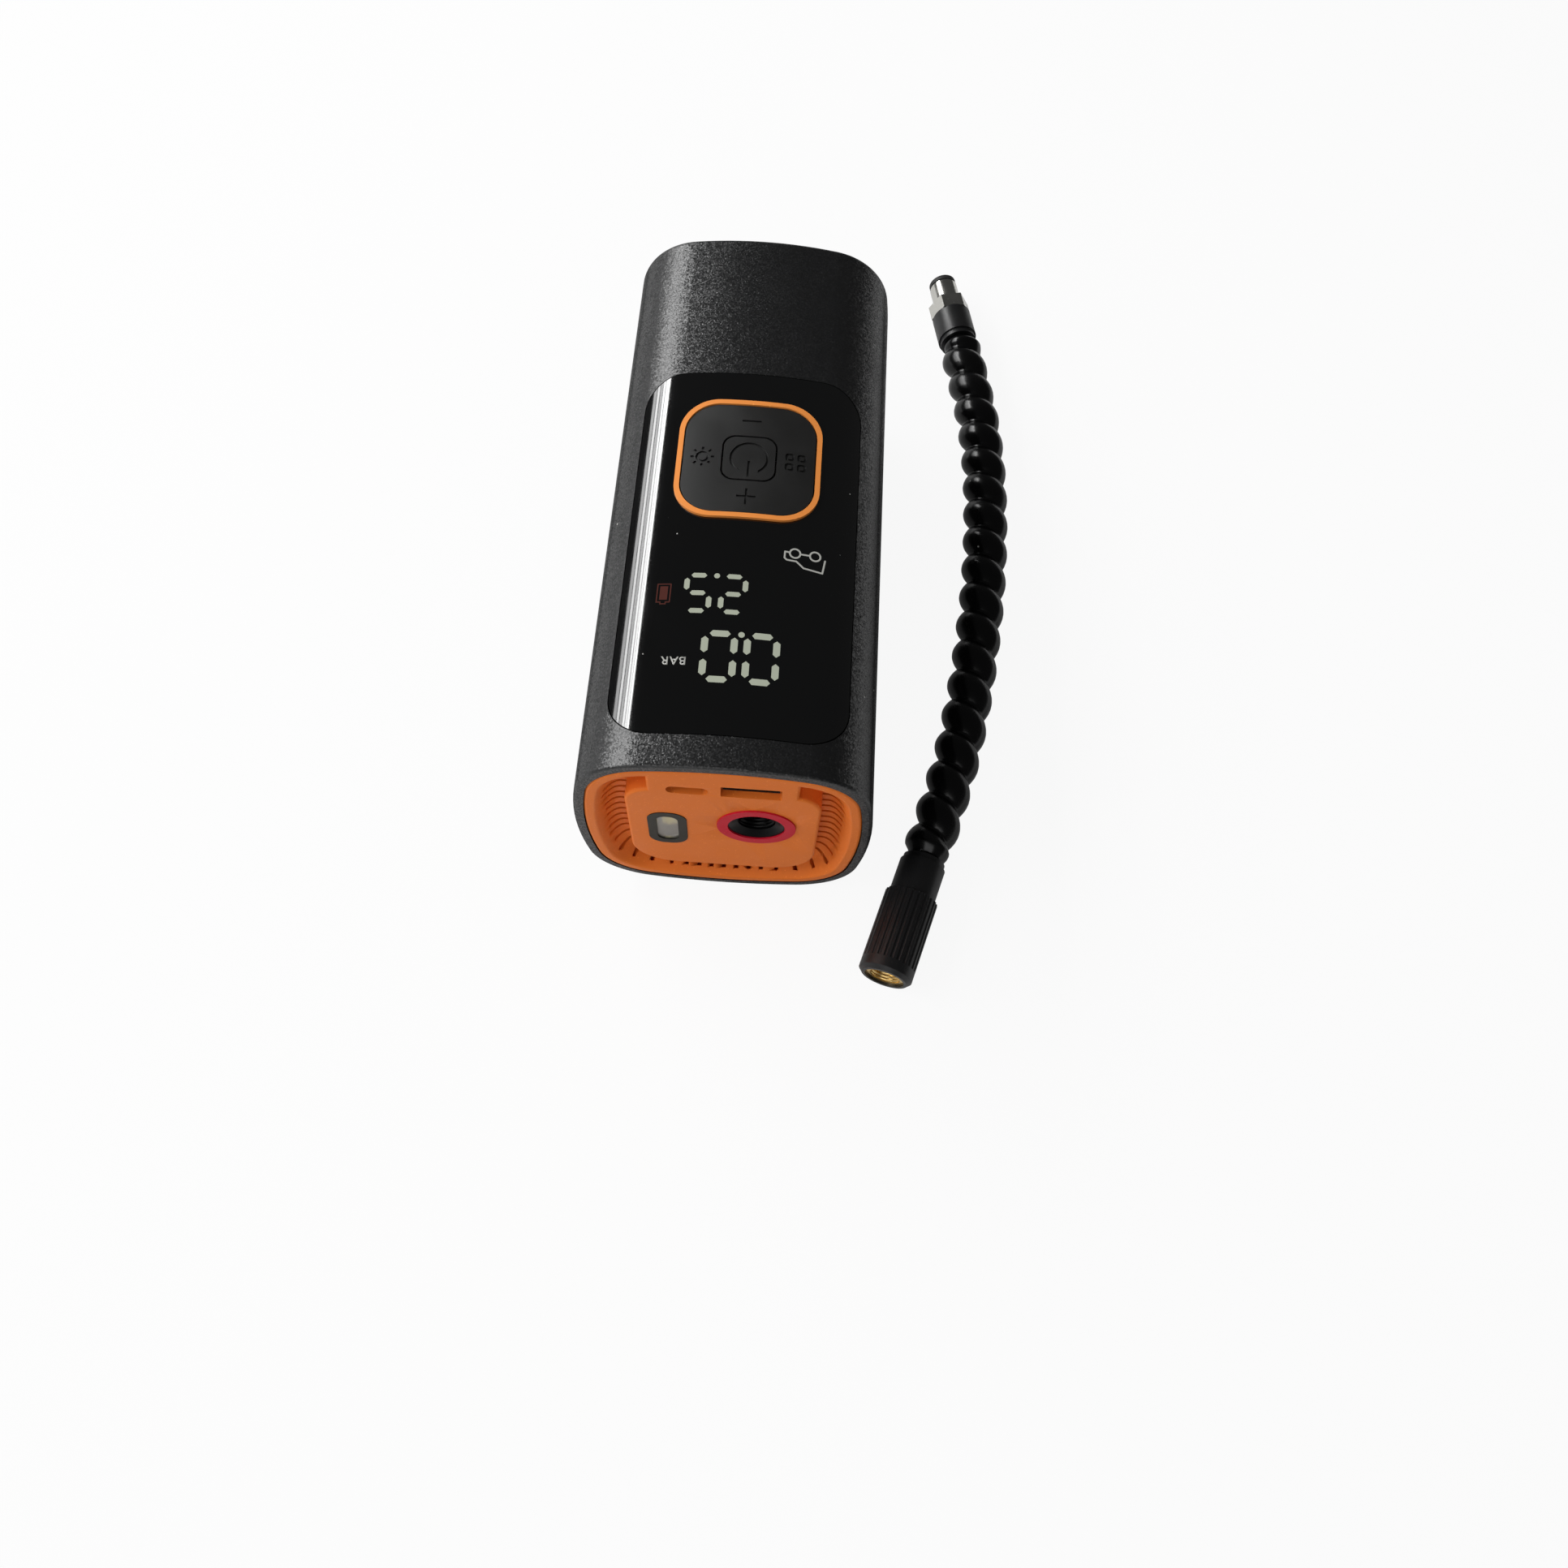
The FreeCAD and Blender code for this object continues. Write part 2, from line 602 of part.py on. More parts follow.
def make_dc_socket():
    """Round charging socket in the rear cap with its centre pin."""
    y1 = REAR_Y - 0.5
    barrel = tube(4.4, 2.9, V(0, y1 - 12, JACK_Z), BACK, 12)
    barrel = barrel.fuse(disc_prism(4.4, V(0, y1 - 13, JACK_Z), BACK, 1))
    return barrel.fuse(disc_prism(1.0, V(0, y1 - 12, JACK_Z), BACK, 9))


# Electronics

def make_main_board():
    """Circuit board under the display and the pad, with four screw holes."""
    board = plan_prism(-BOARD_HALF_W, BOARD_HALF_W, BOARD_Y0, BOARD_Y1, 1.5,
                       BOARD_Z, BOARD_Z + BOARD_T)
    for x, y in board_screw_places():
        board = board.cut(disc_prism(1.1, V(x, y, BOARD_Z - 1), UP, 4))
    return board


def board_screw_places():
    """Four screws that hold the main board."""
    return corners(18.5, 36.5, 0, (BOARD_Y0 + BOARD_Y1) / 2)


def make_board_screws():
    """Pan screws of the main board."""
    top = BOARD_Z + BOARD_T
    screws = []
    for x, y in board_screw_places():
        screw = disc_prism(1.9, V(x, y, top), UP, 1.3).fuse(disc_prism(1.0, V(x, y, top - 6), UP, 6))
        screws.append(screw.cut(block(x - 1.5, x + 1.5, y - 0.25, y + 0.25, top + 0.7, top + 2)))
    return shared(screws)


def make_board_carrier():
    """Inner frame: two rails along the case walls with four posts under the board."""
    rails = []
    for sx in (-1, 1):
        x0, x1 = sorted((sx * 24.5, sx * 30))
        rail = block(x0, x1, BOARD_Y0, BOARD_Y1, BOARD_Z - 5, BOARD_Z - 3)
        inner = sx * 16.5
        for _, y in board_screw_places()[::2] if sx < 0 else board_screw_places()[1::2]:
            x0, x1 = sorted((inner, sx * 25))
            arm = block(x0, x1, y - 2.2, y + 2.2, BOARD_Z - 5, BOARD_Z - 3)
            post = disc_prism(2.1, V(sx * 18.5, y, BOARD_Z - 5), UP, 5)
            rail = rail.fuse(arm).fuse(post)
        rails.append(rail)
    cross = block(-25, 25, BOARD_Y0 + 24, BOARD_Y0 + 27, BOARD_Z - 5, BOARD_Z - 3.6)
    carrier = rails[0].fuse(rails[1]).fuse(cross)
    for x, y in board_screw_places():
        carrier = carrier.cut(disc_prism(1.0, V(x, y, BOARD_Z - 5), UP, 5))
    return carrier.common(section_prism(WALL + FIT, -REAR_Y, REAR_Y))


def make_display_module():
    """Segment display block under the glass."""
    z0 = BOARD_Z + BOARD_T
    return plan_prism(-14.5, 14.5, -48.5, -17, 1, z0, 64.6)


def switch_places():
    """Places of the four outer switches, under the icons."""
    reach = SWITCH_REACH
    return [(0, PAD_Y - reach), (0, PAD_Y + reach), (-reach, PAD_Y), (reach, PAD_Y)]


def make_tact_switches():
    """Five push switches on the board: one under the key, four under the pad."""
    z0 = BOARD_Z + BOARD_T
    half = SWITCH_SIDE / 2
    switches = []
    for x, y in switch_places() + [(0, PAD_Y)]:
        base = block(x - half, x + half, y - half, y + half, z0, z0 + SWITCH_BODY_H)
        switches.append(base.fuse(disc_prism(1.2, V(x, y, z0), UP, SWITCH_H)))
    return shared(switches)


def make_board_chips():
    """Controller, power stage and coil under the board."""
    chips = [
        block(-14, -4, -12, -2, BOARD_Z - 1.6, BOARD_Z),
        block(3, 9, -12, -6, BOARD_Z - 1.2, BOARD_Z),
        block(4, 11, 8, 15, BOARD_Z - 4, BOARD_Z),
        disc_prism(3, V(-10, 12, BOARD_Z - 5), UP, 5),
    ]
    return shared(chips)


def make_pressure_sensor():
    """Pressure sensor with its barb, tied to the outlet tube."""
    base = block(14, 20, -20, -14, BOARD_Z - 4.5, BOARD_Z)
    return base.fuse(tube(1.4, 0.6, V(17, -17, BOARD_Z - 8.5), UP, 4.5))


# Pump

def gear_outline(teeth, addendum, dedendum, turn):
    """Involute gear wire about the origin in XZ; each flank is one arc through the involute."""
    pitch_r = GEAR_MODULE * teeth / 2
    base_r = pitch_r * cos(PRESSURE_ANGLE)
    root_r = pitch_r - dedendum
    tip_r = pitch_r + addendum
    half_tooth = (pi * GEAR_MODULE / 2 - GEAR_PLAY) / (2 * pitch_r)
    involute_at_pitch = tan(PRESSURE_ANGLE) - PRESSURE_ANGLE

    def flank(radius):
        pressure = acos(min(1.0, base_r / radius))
        return half_tooth + involute_at_pitch - (tan(pressure) - pressure)

    def point(radius, angle):
        return V(radius * cos(angle), 0, radius * sin(angle))

    start_r = max(root_r, base_r)
    middle_r = (start_r + tip_r) / 2
    edges = []
    for i in range(teeth):
        axis = turn + 2 * pi * i / teeth
        low, middle, high = flank(start_r), flank(middle_r), flank(tip_r)
        if root_r < start_r:
            edges.append(Part.makeLine(point(root_r, axis - low), point(start_r, axis - low)))
        edges.append(Part.Arc(point(start_r, axis - low), point(middle_r, axis - middle),
                              point(tip_r, axis - high)).toShape())
        edges.append(Part.Arc(point(tip_r, axis - high), point(tip_r, axis),
                              point(tip_r, axis + high)).toShape())
        edges.append(Part.Arc(point(tip_r, axis + high), point(middle_r, axis + middle),
                              point(start_r, axis + low)).toShape())
        if root_r < start_r:
            edges.append(Part.makeLine(point(start_r, axis + low), point(root_r, axis + low)))
        half_gap = axis + pi / teeth
        next_low = axis + 2 * pi / teeth - low
        edges.append(Part.Arc(point(root_r, axis + low), point(root_r, half_gap),
                              point(root_r, next_low)).toShape())
    return Part.Wire(edges)


def make_gear(teeth, addendum, dedendum, turn, x):
    """Spur gear blank with its teeth, on an axis along Y at (x, AXIS_Z)."""
    gear = Part.Face(gear_outline(teeth, addendum, dedendum, turn)).extrude(V(0, GEAR_T, 0))
    gear.translate(V(x, GEAR_Y, AXIS_Z))
    return gear


def make_drive_pinion():
    """Small gear on the motor shaft, one tooth pointing at the crank gear."""
    pinion = make_gear(PINION_TEETH, 0.8, 1.0, pi, 0)
    return pinion.cut(disc_prism(SHAFT_R, V(0, GEAR_Y, AXIS_Z), BACK, GEAR_T))


def make_crank_gear():
    """Large gear with lightening holes, a gap facing the pinion."""
    gear = make_gear(GEAR_TEETH, 0.62, 1.0, pi / GEAR_TEETH, CRANK_X)
    gear = gear.cut(disc_prism(2.0, V(CRANK_X, GEAR_Y, AXIS_Z), BACK, GEAR_T))
    for i in range(1, 6):
        angle = 2 * pi * i / 6
        hole = V(CRANK_X + 7 * cos(angle), GEAR_Y, AXIS_Z + 7 * sin(angle))
        gear = gear.cut(disc_prism(2.1, hole, BACK, GEAR_T))
    pin_seat = V(CRANK_X + THROW, GEAR_Y, AXIS_Z)
    return gear.cut(disc_prism(1.5, pin_seat, BACK, GEAR_T))


def make_crank_shaft():
    """Short axle of the crank gear, running in the frame's bush."""
    shaft = disc_prism(2.0, V(CRANK_X, GEAR_Y, AXIS_Z), BACK, GEAR_T + 5.0)
    return shaft.fuse(disc_prism(2.6, V(CRANK_X, GEAR_Y + GEAR_T + 4.2, AXIS_Z), BACK, 0.8))


def make_crank_pin():
    """Pin that drives the rod; its free end stops just short of the rod's eye."""
    rod_face = CYL_Y + ROD_T / 2
    seat = disc_prism(1.5, V(CRANK_X + THROW, GEAR_Y, AXIS_Z), BACK, GEAR_T)
    reach = GEAR_Y - rod_face - GAP
    return seat.fuse(disc_prism(CRANK_PIN_R, V(CRANK_X + THROW, GEAR_Y, AXIS_Z), -BACK, reach))


def make_crank_bush():
    """Bronze bush of the crank axle in the frame plate."""
    return tube(3.4, 2.0 + FIT, V(CRANK_X, PLATE_Y - 0.7, AXIS_Z), BACK, PLATE_T + 0.7)


def make_pump_frame():
    """Cast plate that holds motor, crank bush and cylinder, with a foot and two arms."""
    plate = front_prism(-1, AXIS_Z, 58, 30, 5, PLATE_Y, PLATE_Y + PLATE_T)
    saddle = block(CYL_X0 + 3, CYL_X1 - 1, CYL_Y + 3, PLATE_Y, AXIS_Z - 9, AXIS_Z + 9)
    bore = disc_prism(CYL_R, V(CYL_X0 - 1, CYL_Y, AXIS_Z), RIGHT, 30)
    plate = plate.fuse(saddle.cut(bore))
    for sx in (-1, 1):
        plate = plate.fuse(block(sx * 18 - 4, sx * 18 + 4, PLATE_Y, PLATE_Y + PLATE_T, 6, 18))
        plate = plate.fuse(block(sx * 18 - 4, sx * 18 + 4, PLATE_Y, PLATE_Y + PLATE_T, 44, 49))
    plate = plate.cut(disc_prism(5, V(0, PLATE_Y - 1, AXIS_Z), BACK, 5))
    plate = plate.cut(disc_prism(3.4, V(CRANK_X, PLATE_Y - 1, AXIS_Z), BACK, 5))
    for x, z in motor_screw_places():
        plate = plate.cut(disc_prism(1.3, V(x, PLATE_Y - 1, z), BACK, 5))
    return plate


def motor_screw_places():
    """Two screws into the motor's face."""
    return [(0, AXIS_Z + 8), (0, AXIS_Z - 8)]


def make_pump_screws():
    """Screws of the motor's face and of the cylinder head."""
    screws = []
    for x, z in motor_screw_places():
        head = disc_prism(2.2, V(x, PLATE_Y - 1, z), BACK, 1)
        screws.append(head.fuse(disc_prism(1.25, V(x, PLATE_Y, z), BACK, PLATE_T + 2)))
    for y, z in head_screw_places():
        shank = disc_prism(0.88, V(CYL_X1, y, z), RIGHT, HEAD_L)
        screws.append(shank.fuse(disc_prism(1.7, V(CYL_X1 + HEAD_L, y, z), RIGHT, 1.2)))
    return shared(screws)


def make_frame_mounts():
    """Rubber blocks under the frame's feet and over its arms."""
    mounts = []
    y_mid = PLATE_Y + PLATE_T / 2
    for sx in (-1, 1):
        low = block(sx * 18 - 5, sx * 18 + 5, y_mid - 3, y_mid + 3, 0, 6)
        mounts.append(low.common(section_prism(WALL + FIT, -REAR_Y, REAR_Y)))
        mounts.append(block(sx * 18 - 5, sx * 18 + 5, y_mid - 3, y_mid + 3, 49, BOARD_Z - 5))
    return shared(mounts)


def make_motor_can():
    """Drawn steel can of the motor with its front boss and screw holes."""
    front = V(0, MOTOR_Y0, AXIS_Z)
    can = disc_prism(MOTOR_R, front, BACK, MOTOR_L)
    can = can.cut(disc_prism(MOTOR_R - 1.2, front + BACK * 1.5, BACK, MOTOR_L))
    can = can.fuse(disc_prism(4.8, front - BACK * 2.2, BACK, 2.2))
    can = can.cut(disc_prism(SHAFT_R + FIT, front - BACK * 3, BACK, 6))
    for x, z in motor_screw_places():
        can = can.cut(disc_prism(1.3, V(x, MOTOR_Y0, z), BACK, 1.5))
    return can


def make_motor_magnets():
    """Two curved magnets inside the can."""
    ring = tube(MOTOR_R - 1.2 - FIT, MOTOR_R - 3.6, V(0, MOTOR_Y0 + 5, AXIS_Z), BACK, 20)
    gap = block(-3, 3, MOTOR_Y0, MOTOR_Y0 + 30, AXIS_Z - 15, AXIS_Z + 15)
    return shared([ring.cut(gap)])


def make_end_bell():
    """Plastic end of the motor with the rear bearing."""
    base = V(0, MOTOR_Y0 + MOTOR_L, AXIS_Z)
    bell = disc_prism(MOTOR_R - 1.3, base - BACK * 2, BACK, 2)
    bell = bell.fuse(disc_prism(MOTOR_R, base, BACK, 1.5)).fuse(disc_prism(4, base, BACK, 3))
    return bell.cut(disc_prism(SHAFT_R + FIT, base - BACK * 3, BACK, 7))


def make_motor_shaft():
    """Shaft from the pinion through the rotor to the fan."""
    return disc_prism(SHAFT_R, V(0, GEAR_Y, AXIS_Z), BACK, 6.5 - GEAR_Y)


def make_rotor():
    """Wound rotor with three poles and its commutator."""
    base = V(0, MOTOR_Y0 + 5, AXIS_Z)
    rotor = disc_prism(MOTOR_R - 4.2, base, BACK, 18)
    for i in range(3):
        angle = 2 * pi * i / 3 + pi / 6
        slot = disc_prism(2.0, base + V(cos(angle), 0, sin(angle)) * (MOTOR_R - 5), BACK, 18)
        rotor = rotor.cut(slot)
    rotor = rotor.fuse(disc_prism(3, base + BACK * 18, BACK, 4))
    return rotor.cut(disc_prism(SHAFT_R, base - BACK, BACK, 24))


def make_cooling_fan():
    """Seven-bladed fan on the rear of the motor shaft."""
    base = V(0, 2.6, AXIS_Z)
    fan = disc_prism(4, base, BACK, 3.6)
    for i in range(7):
        blade = block(3, 12, 0, 0.9, -2.2, 2.2)
        blade.rotate(V(), RIGHT, 35)
        blade.translate(V(0, base.y + 1.2, 0))
        blade.rotate(V(), BACK, 360 / 7 * i)
        blade.translate(V(0, 0, AXIS_Z))
        fan = fan.fuse(blade)
    return fan.cut(disc_prism(SHAFT_R, base - BACK, BACK, 6))


def make_cylinder():
    """Aluminium barrel with cooling fins and a smooth bore."""
    base = V(CYL_X0, CYL_Y, AXIS_Z)
    length = CYL_X1 - CYL_X0
    barrel = disc_prism(BORE_R + 1.4, base, RIGHT, length)
    fin_pitch = length / 5
    for i in range(5):
        barrel = barrel.fuse(disc_prism(CYL_R, base + RIGHT * (fin_pitch * (i + 0.5)), RIGHT, 1.2))
    return barrel.cut(disc_prism(BORE_R, base, RIGHT, length))


def make_cylinder_head():
    """Head with the valve pocket, the outlet and four screw holes."""
    base = V(CYL_X1, CYL_Y, AXIS_Z)
    head = disc_prism(CYL_R, base, RIGHT, HEAD_L)
    head = head.cut(disc_prism(1.2, base, RIGHT, 3)).cut(disc_prism(2.6, base + RIGHT * 2, RIGHT, 4))
    channel_end = V(OUTLET_X, CYL_Y, OUTLET_Z)
    head = head.fuse(disc_prism(OUTLET_R, channel_end - BACK * 6, -BACK, 8))
    head = head.cut(disc_prism(1.0, V(OUTLET_X, CYL_Y, AXIS_Z), UP, OUTLET_Z - AXIS_Z))
    head = head.cut(disc_prism(1.0, channel_end, -BACK, 14))
    for y, z in head_screw_places():
        head = head.cut(disc_prism(0.9, V(CYL_X1, y, z), RIGHT, HEAD_L))
    return head


def head_screw_places():
    """Four screws of the cylinder head, on its two middle lines."""
    reach = HEAD_SCREW_REACH
    return [(CYL_Y - reach, AXIS_Z), (CYL_Y + reach, AXIS_Z),
            (CYL_Y, AXIS_Z - reach), (CYL_Y, AXIS_Z + reach)]


def make_valve_ball():
    """Ball of the outlet check valve on its seat."""
    return Part.makeSphere(1.6, V(CYL_X1 + 3.1, CYL_Y, AXIS_Z))


def make_valve_spring():
    """Short spring, two turns wide enough for the ball to sink into."""
    steps_per_turn = 12
    frames = []
    for i in range(2 * steps_per_turn + 1):
        turns = i / steps_per_turn
        angle = 2 * pi * turns
        around = V(0, SPRING_R * cos(angle), SPRING_R * sin(angle))
        along = RIGHT * (4.4 + SPRING_RISE * turns)
        heading = V(SPRING_RISE, -2 * pi * around.z, 2 * pi * around.y)
        frames.append((V(CYL_X1, CYL_Y, AXIS_Z) + around + along, heading.normalize()))
    return lofted(frames, [SPRING_WIRE_R] * len(frames), RIGHT)


def make_piston_rod():
    """Flat rod and piston crown in one, with an eye over the crank pin."""
    eye_x = CRANK_X + THROW
    crown = piston_crown_x()
    head = disc_prism(BORE_R - 0.35, V(crown - PISTON_T, CYL_Y, AXIS_Z), RIGHT, PISTON_T)
    head = head.cut(tube(BORE_R, BORE_R - 1.6, V(crown - 2.4, CYL_Y, AXIS_Z), RIGHT, 1.2))
    y0 = CYL_Y - ROD_T / 2
    arm = block(eye_x, crown - PISTON_T, y0, y0 + ROD_T, AXIS_Z - 2.5, AXIS_Z + 2.5)
    eye = disc_prism(4.5, V(eye_x, y0, AXIS_Z), BACK, ROD_T)
    rod = head.fuse(arm).fuse(eye)
    return rod.cut(disc_prism(CRANK_PIN_R + FIT, V(eye_x, y0, AXIS_Z), BACK, ROD_T))


def piston_crown_x():
    """Crown of the piston at the top of its stroke."""
    return CYL_X1 - 0.5


def make_piston_seal():
    """Cup ring in the piston's groove, a running fit in the bore."""
    base = V(piston_crown_x() - 2.35, CYL_Y, AXIS_Z)
    return tube(BORE_R - 0.04, BORE_R - 1.6, base, RIGHT, 1.1)


def make_outlet_tube():
    """Silicone tube from the cylinder head's stem round to the air port's barb."""
    bend = V(OUTLET_X, OUTLET_Y, OUTLET_Z)
    start = V(PORT_X + PORT_R + FIT, OUTLET_Y, OUTLET_Z)
    return soft_tube([start, bend, V(OUTLET_X, CYL_Y - CYL_R + 0.4, OUTLET_Z)], 2.6, OUTLET_R + FIT)


def soft_tube(points, outer, inner):
    """Bent tube: straight runs joined by tangent arcs."""
    path = rounded_path(points)
    start = (points[1] - points[0]).normalize()
    shapes = []
    for radius in (outer, inner):
        ring = Part.Wire(Part.Circle(points[0], start, radius).toShape())
        shapes.append(path.makePipeShell([ring], True, False))
    return shapes[0].cut(shapes[1])


def rounded_path(points):
    """Wire of runs and tangent arcs through a route."""
    edges = []
    last = points[0]
    for before, corner, after in zip(points, points[1:], points[2:]):
        radius, reach, turn = arc_at(before, corner, after)
        back = (before - corner).normalize()
        ahead = (after - corner).normalize()
        start = corner + back * reach
        end = corner + ahead * reach
        toward = (back + ahead).normalize()
        middle = corner + toward * (radius / cos(turn / 2) - radius)
        edges.append(Part.LineSegment(last, start).toShape())
        edges.append(Part.Arc(start, middle, end).toShape())
        last = end
    edges.append(Part.LineSegment(last, points[-1]).toShape())
    return Part.Wire(edges)


def arc_at(before, corner, after):
    """Radius, tangent length and turn of the arc at a corner."""
    turn = (corner - before).getAngle(after - corner)
    reach = 0.45 * min((corner - before).Length, (after - corner).Length)
    return reach / tan(turn / 2), reach, turn


# Battery

def cell_places():
    """Middle lines of the three cells."""
    return [(i * CELL_PITCH, CELL_Z) for i in (-1, 0, 1)]


def cell_space(play):
    """Space that the three cells take, with play round each."""
    cells = [disc_prism(CELL_R + play, V(x, CELL_Y0, z), BACK, CELL_L) for x, z in cell_places()]
    return cells[0].fuse(cells[1:])


def make_battery_cells():
    """Three round cells side by side."""
    cells = []
    for x, z in cell_places():
        cell = disc_prism(CELL_R, V(x, CELL_Y0, z), BACK, CELL_L - 0.6)
        cell = cell.makeFillet(0.8, [e for e in cell.Edges if e.Curve.TypeId == "Part::GeomCircle"])
        cells.append(cell.fuse(disc_prism(3, V(x, CELL_Y0 + CELL_L - 0.8, z), BACK, 0.8)))
    return shared(cells)


def make_battery_holder():
    """Cradle under the cells with a low wall between each pair."""
    holder = block(-28.5, 28.5, CELL_Y0 + 3, CELL_Y0 + CELL_L * 0.78, 8.4, CELL_Z)
    holder = holder.cut(cell_space(0.1)).common(section_prism(WALL + FIT, -REAR_Y, REAR_Y))
    return shared([max(holder.Solids, key=lambda solid: solid.Volume)])


def make_battery_board():
    """Protection board on top of the cells."""
    z0 = CELL_Z + CELL_R + 0.3
    return block(-24, 24, CELL_Y0 + 8, CELL_Y0 + 32, z0, z0 + 1.2)


# Hose

def hose_points():
    """The hose's route as points in space."""
    return [V(x, y, HOSE_Z) for x, y in HOSE_ROUTE]


def hose_end(at_front):
    """Face centre and outward direction of one end of the hose."""
    points = hose_points() if at_front else hose_points()[::-1]
    return points[0], (points[0] - points[1]).normalize()


def hose_frames(path, distances):
    """Point and direction along the path at each distance from its start."""
    frames = []
    for distance in distances:
        along = distance
        for edge in path.OrderedEdges:
            if along <= edge.Length + 1e-6:
                at = edge.getParameterByLength(min(along, edge.Length))
                frames.append((edge.valueAt(at), edge.tangentAt(at)))
                break
            along -= edge.Length
    return frames


def lofted(frames, radii, steady=UP):
    """Ruled solid through circles whose X axis stays near the steady direction."""
    wires = []
    for (point, direction), radius in zip(frames, radii):
        side = direction.cross(steady).normalize()
        turn = FreeCAD.Rotation(steady, side, direction, "ZXY")
        circle = Part.Wire(Part.Circle(V(), UP, radius).toShape())
        circle.Placement = FreeCAD.Placement(point, turn)
        wires.append(circle)
    return Part.makeLoft(wires, True, True)


def make_hose():
    """Ribbed hose: straight plain ends, ribs of four circles each, one bore."""
    path = rounded_path(hose_points())
    plain = 2 * HOSE_CREST_R / 4
    ribs = int((path.Length - 2 * plain) / RIB_PITCH)
    pitch = (path.Length - 2 * plain) / ribs
    distances = [0.0]
    radii = [HOSE_VALLEY_R]
    for i in range(ribs):
        for share, radius in ((0.08, HOSE_VALLEY_R), (0.36, HOSE_CREST_R),
                              (0.64, HOSE_CREST_R), (0.92, HOSE_VALLEY_R)):
            distances.append(plain + (i + share) * pitch)
            radii.append(radius)
    distances.append(path.Length)
    radii.append(HOSE_VALLEY_R)
    frames = hose_frames(path, distances)
    points = hose_points()
    for before, corner, after in zip(points, points[1:], points[2:]):
        print("hose arc radius", round(arc_at(before, corner, after)[0]))
    hose = lofted(frames, radii).cut(lofted(frames, [HOSE_BORE_R] * len(frames)))
    print("hose length", round(path.Length, 1), "ribs", ribs, "volume", round(hose.Volume))
    return hose


def make_ferrule(at_front):
    """Smooth sleeve at a hose end with a step and a spigot for what follows."""
    end, out = hose_end(at_front)
    sleeve = disc_prism(FERRULE_R - 0.5, end, out, 1.5)
    sleeve = sleeve.fuse(disc_prism(FERRULE_R, end + out * 1.5, out, FERRULE_L - 1.5))
    if at_front:
        sleeve = sleeve.fuse(disc_prism(SPIGOT_R, end + out * FERRULE_L, out, 8))
    return sleeve.cut(disc_prism(HOSE_BORE_R - 0.6, end, out, FERRULE_L + 8))


def make_chuck_sleeve():
    """Knurled sleeve with a smooth chamfered lip, bored for the spigot and the brass insert."""
    end, out = hose_end(True)
    base = end + out * (FERRULE_L + GAP)
    side = out.cross(UP).normalize()
    sleeve = disc_prism(CHUCK_R, base, out, CHUCK_L - 1)
    sleeve = sleeve.fuse(Part.makeCone(CHUCK_R, CHUCK_R - 1, 1, base + out * (CHUCK_L - 1), out))
    for i in range(CHUCK_FLUTES):
        angle = 2 * pi * (i + 0.5) / CHUCK_FLUTES
        away = side * cos(angle) + UP * sin(angle)
        start = base + away * (CHUCK_R + 0.25) - out
        sleeve = sleeve.cut(disc_prism(0.55, start, out, CHUCK_L - 2.6))
    sleeve = sleeve.cut(disc_prism(SPIGOT_R + 0.08, base, out, CHUCK_L))
    return sleeve.cut(disc_prism(INSERT_R, base + out * SEAL_AT, out, CHUCK_L))


def make_chuck_insert():
    """Brass insert with the threaded mouth."""
    end, out = hose_end(True)
    base = end + out * (FERRULE_L + GAP + SEAL_AT + SEAL_T)
    return tube(INSERT_R, CHUCK_THREAD_R, base, out, CHUCK_L - SEAL_AT - SEAL_T - 0.6)


def make_chuck_seal():
    """Rubber washer behind the brass insert."""
    end, out = hose_end(True)
    return tube(INSERT_R, 2.4, end + out * (FERRULE_L + GAP + SEAL_AT), out, SEAL_T)


def make_valve_pin():
    """Pin that opens the tyre's valve, on a three-legged spider behind the washer."""
    end, out = hose_end(True)
    base = end + out * (FERRULE_L + GAP + SEAL_AT - 1.4)
    side = out.cross(UP).normalize()
    pin = disc_prism(0.7, base, out, SEAL_T + 1.4)
    for i in range(3):
        angle = 2 * pi * i / 3
        away = side * cos(angle) + UP * sin(angle)
        pin = pin.fuse(disc_prism(0.4, base + out * 0.5, away, SPIGOT_R + 0.03))
    return pin


def make_hose_inlet():
    """Metal inlet: hexagon for the fingers and the threaded nose that screws into the port."""
    end, out = hose_end(False)
    base = end + out * FERRULE_L
    side = out.cross(UP).normalize()
    hexagon = []
    for i in range(7):
        away = side * cos(i * pi / 3) + UP * sin(i * pi / 3)
        hexagon.append(base + away * 6.4)
    nut = Part.Face(Part.makePolygon(hexagon)).extrude(out * 5)
    inlet = nut.fuse(disc_prism(INLET_R, base + out * 5, out, INLET_L))
    inlet = inlet.fuse(disc_prism(INLET_R - 0.9, base + out * (5 + INLET_L), out, 2.5))
    return inlet.cut(disc_prism(1.5, base, out, 20))


def make_inlet_seal():
    """Rubber ring on the inlet's nose."""
    end, out = hose_end(False)
    base = end + out * (FERRULE_L + 5.6 + INLET_L)
    return tube(INLET_R - 0.1, INLET_R - 0.9, base, out, 1.3)


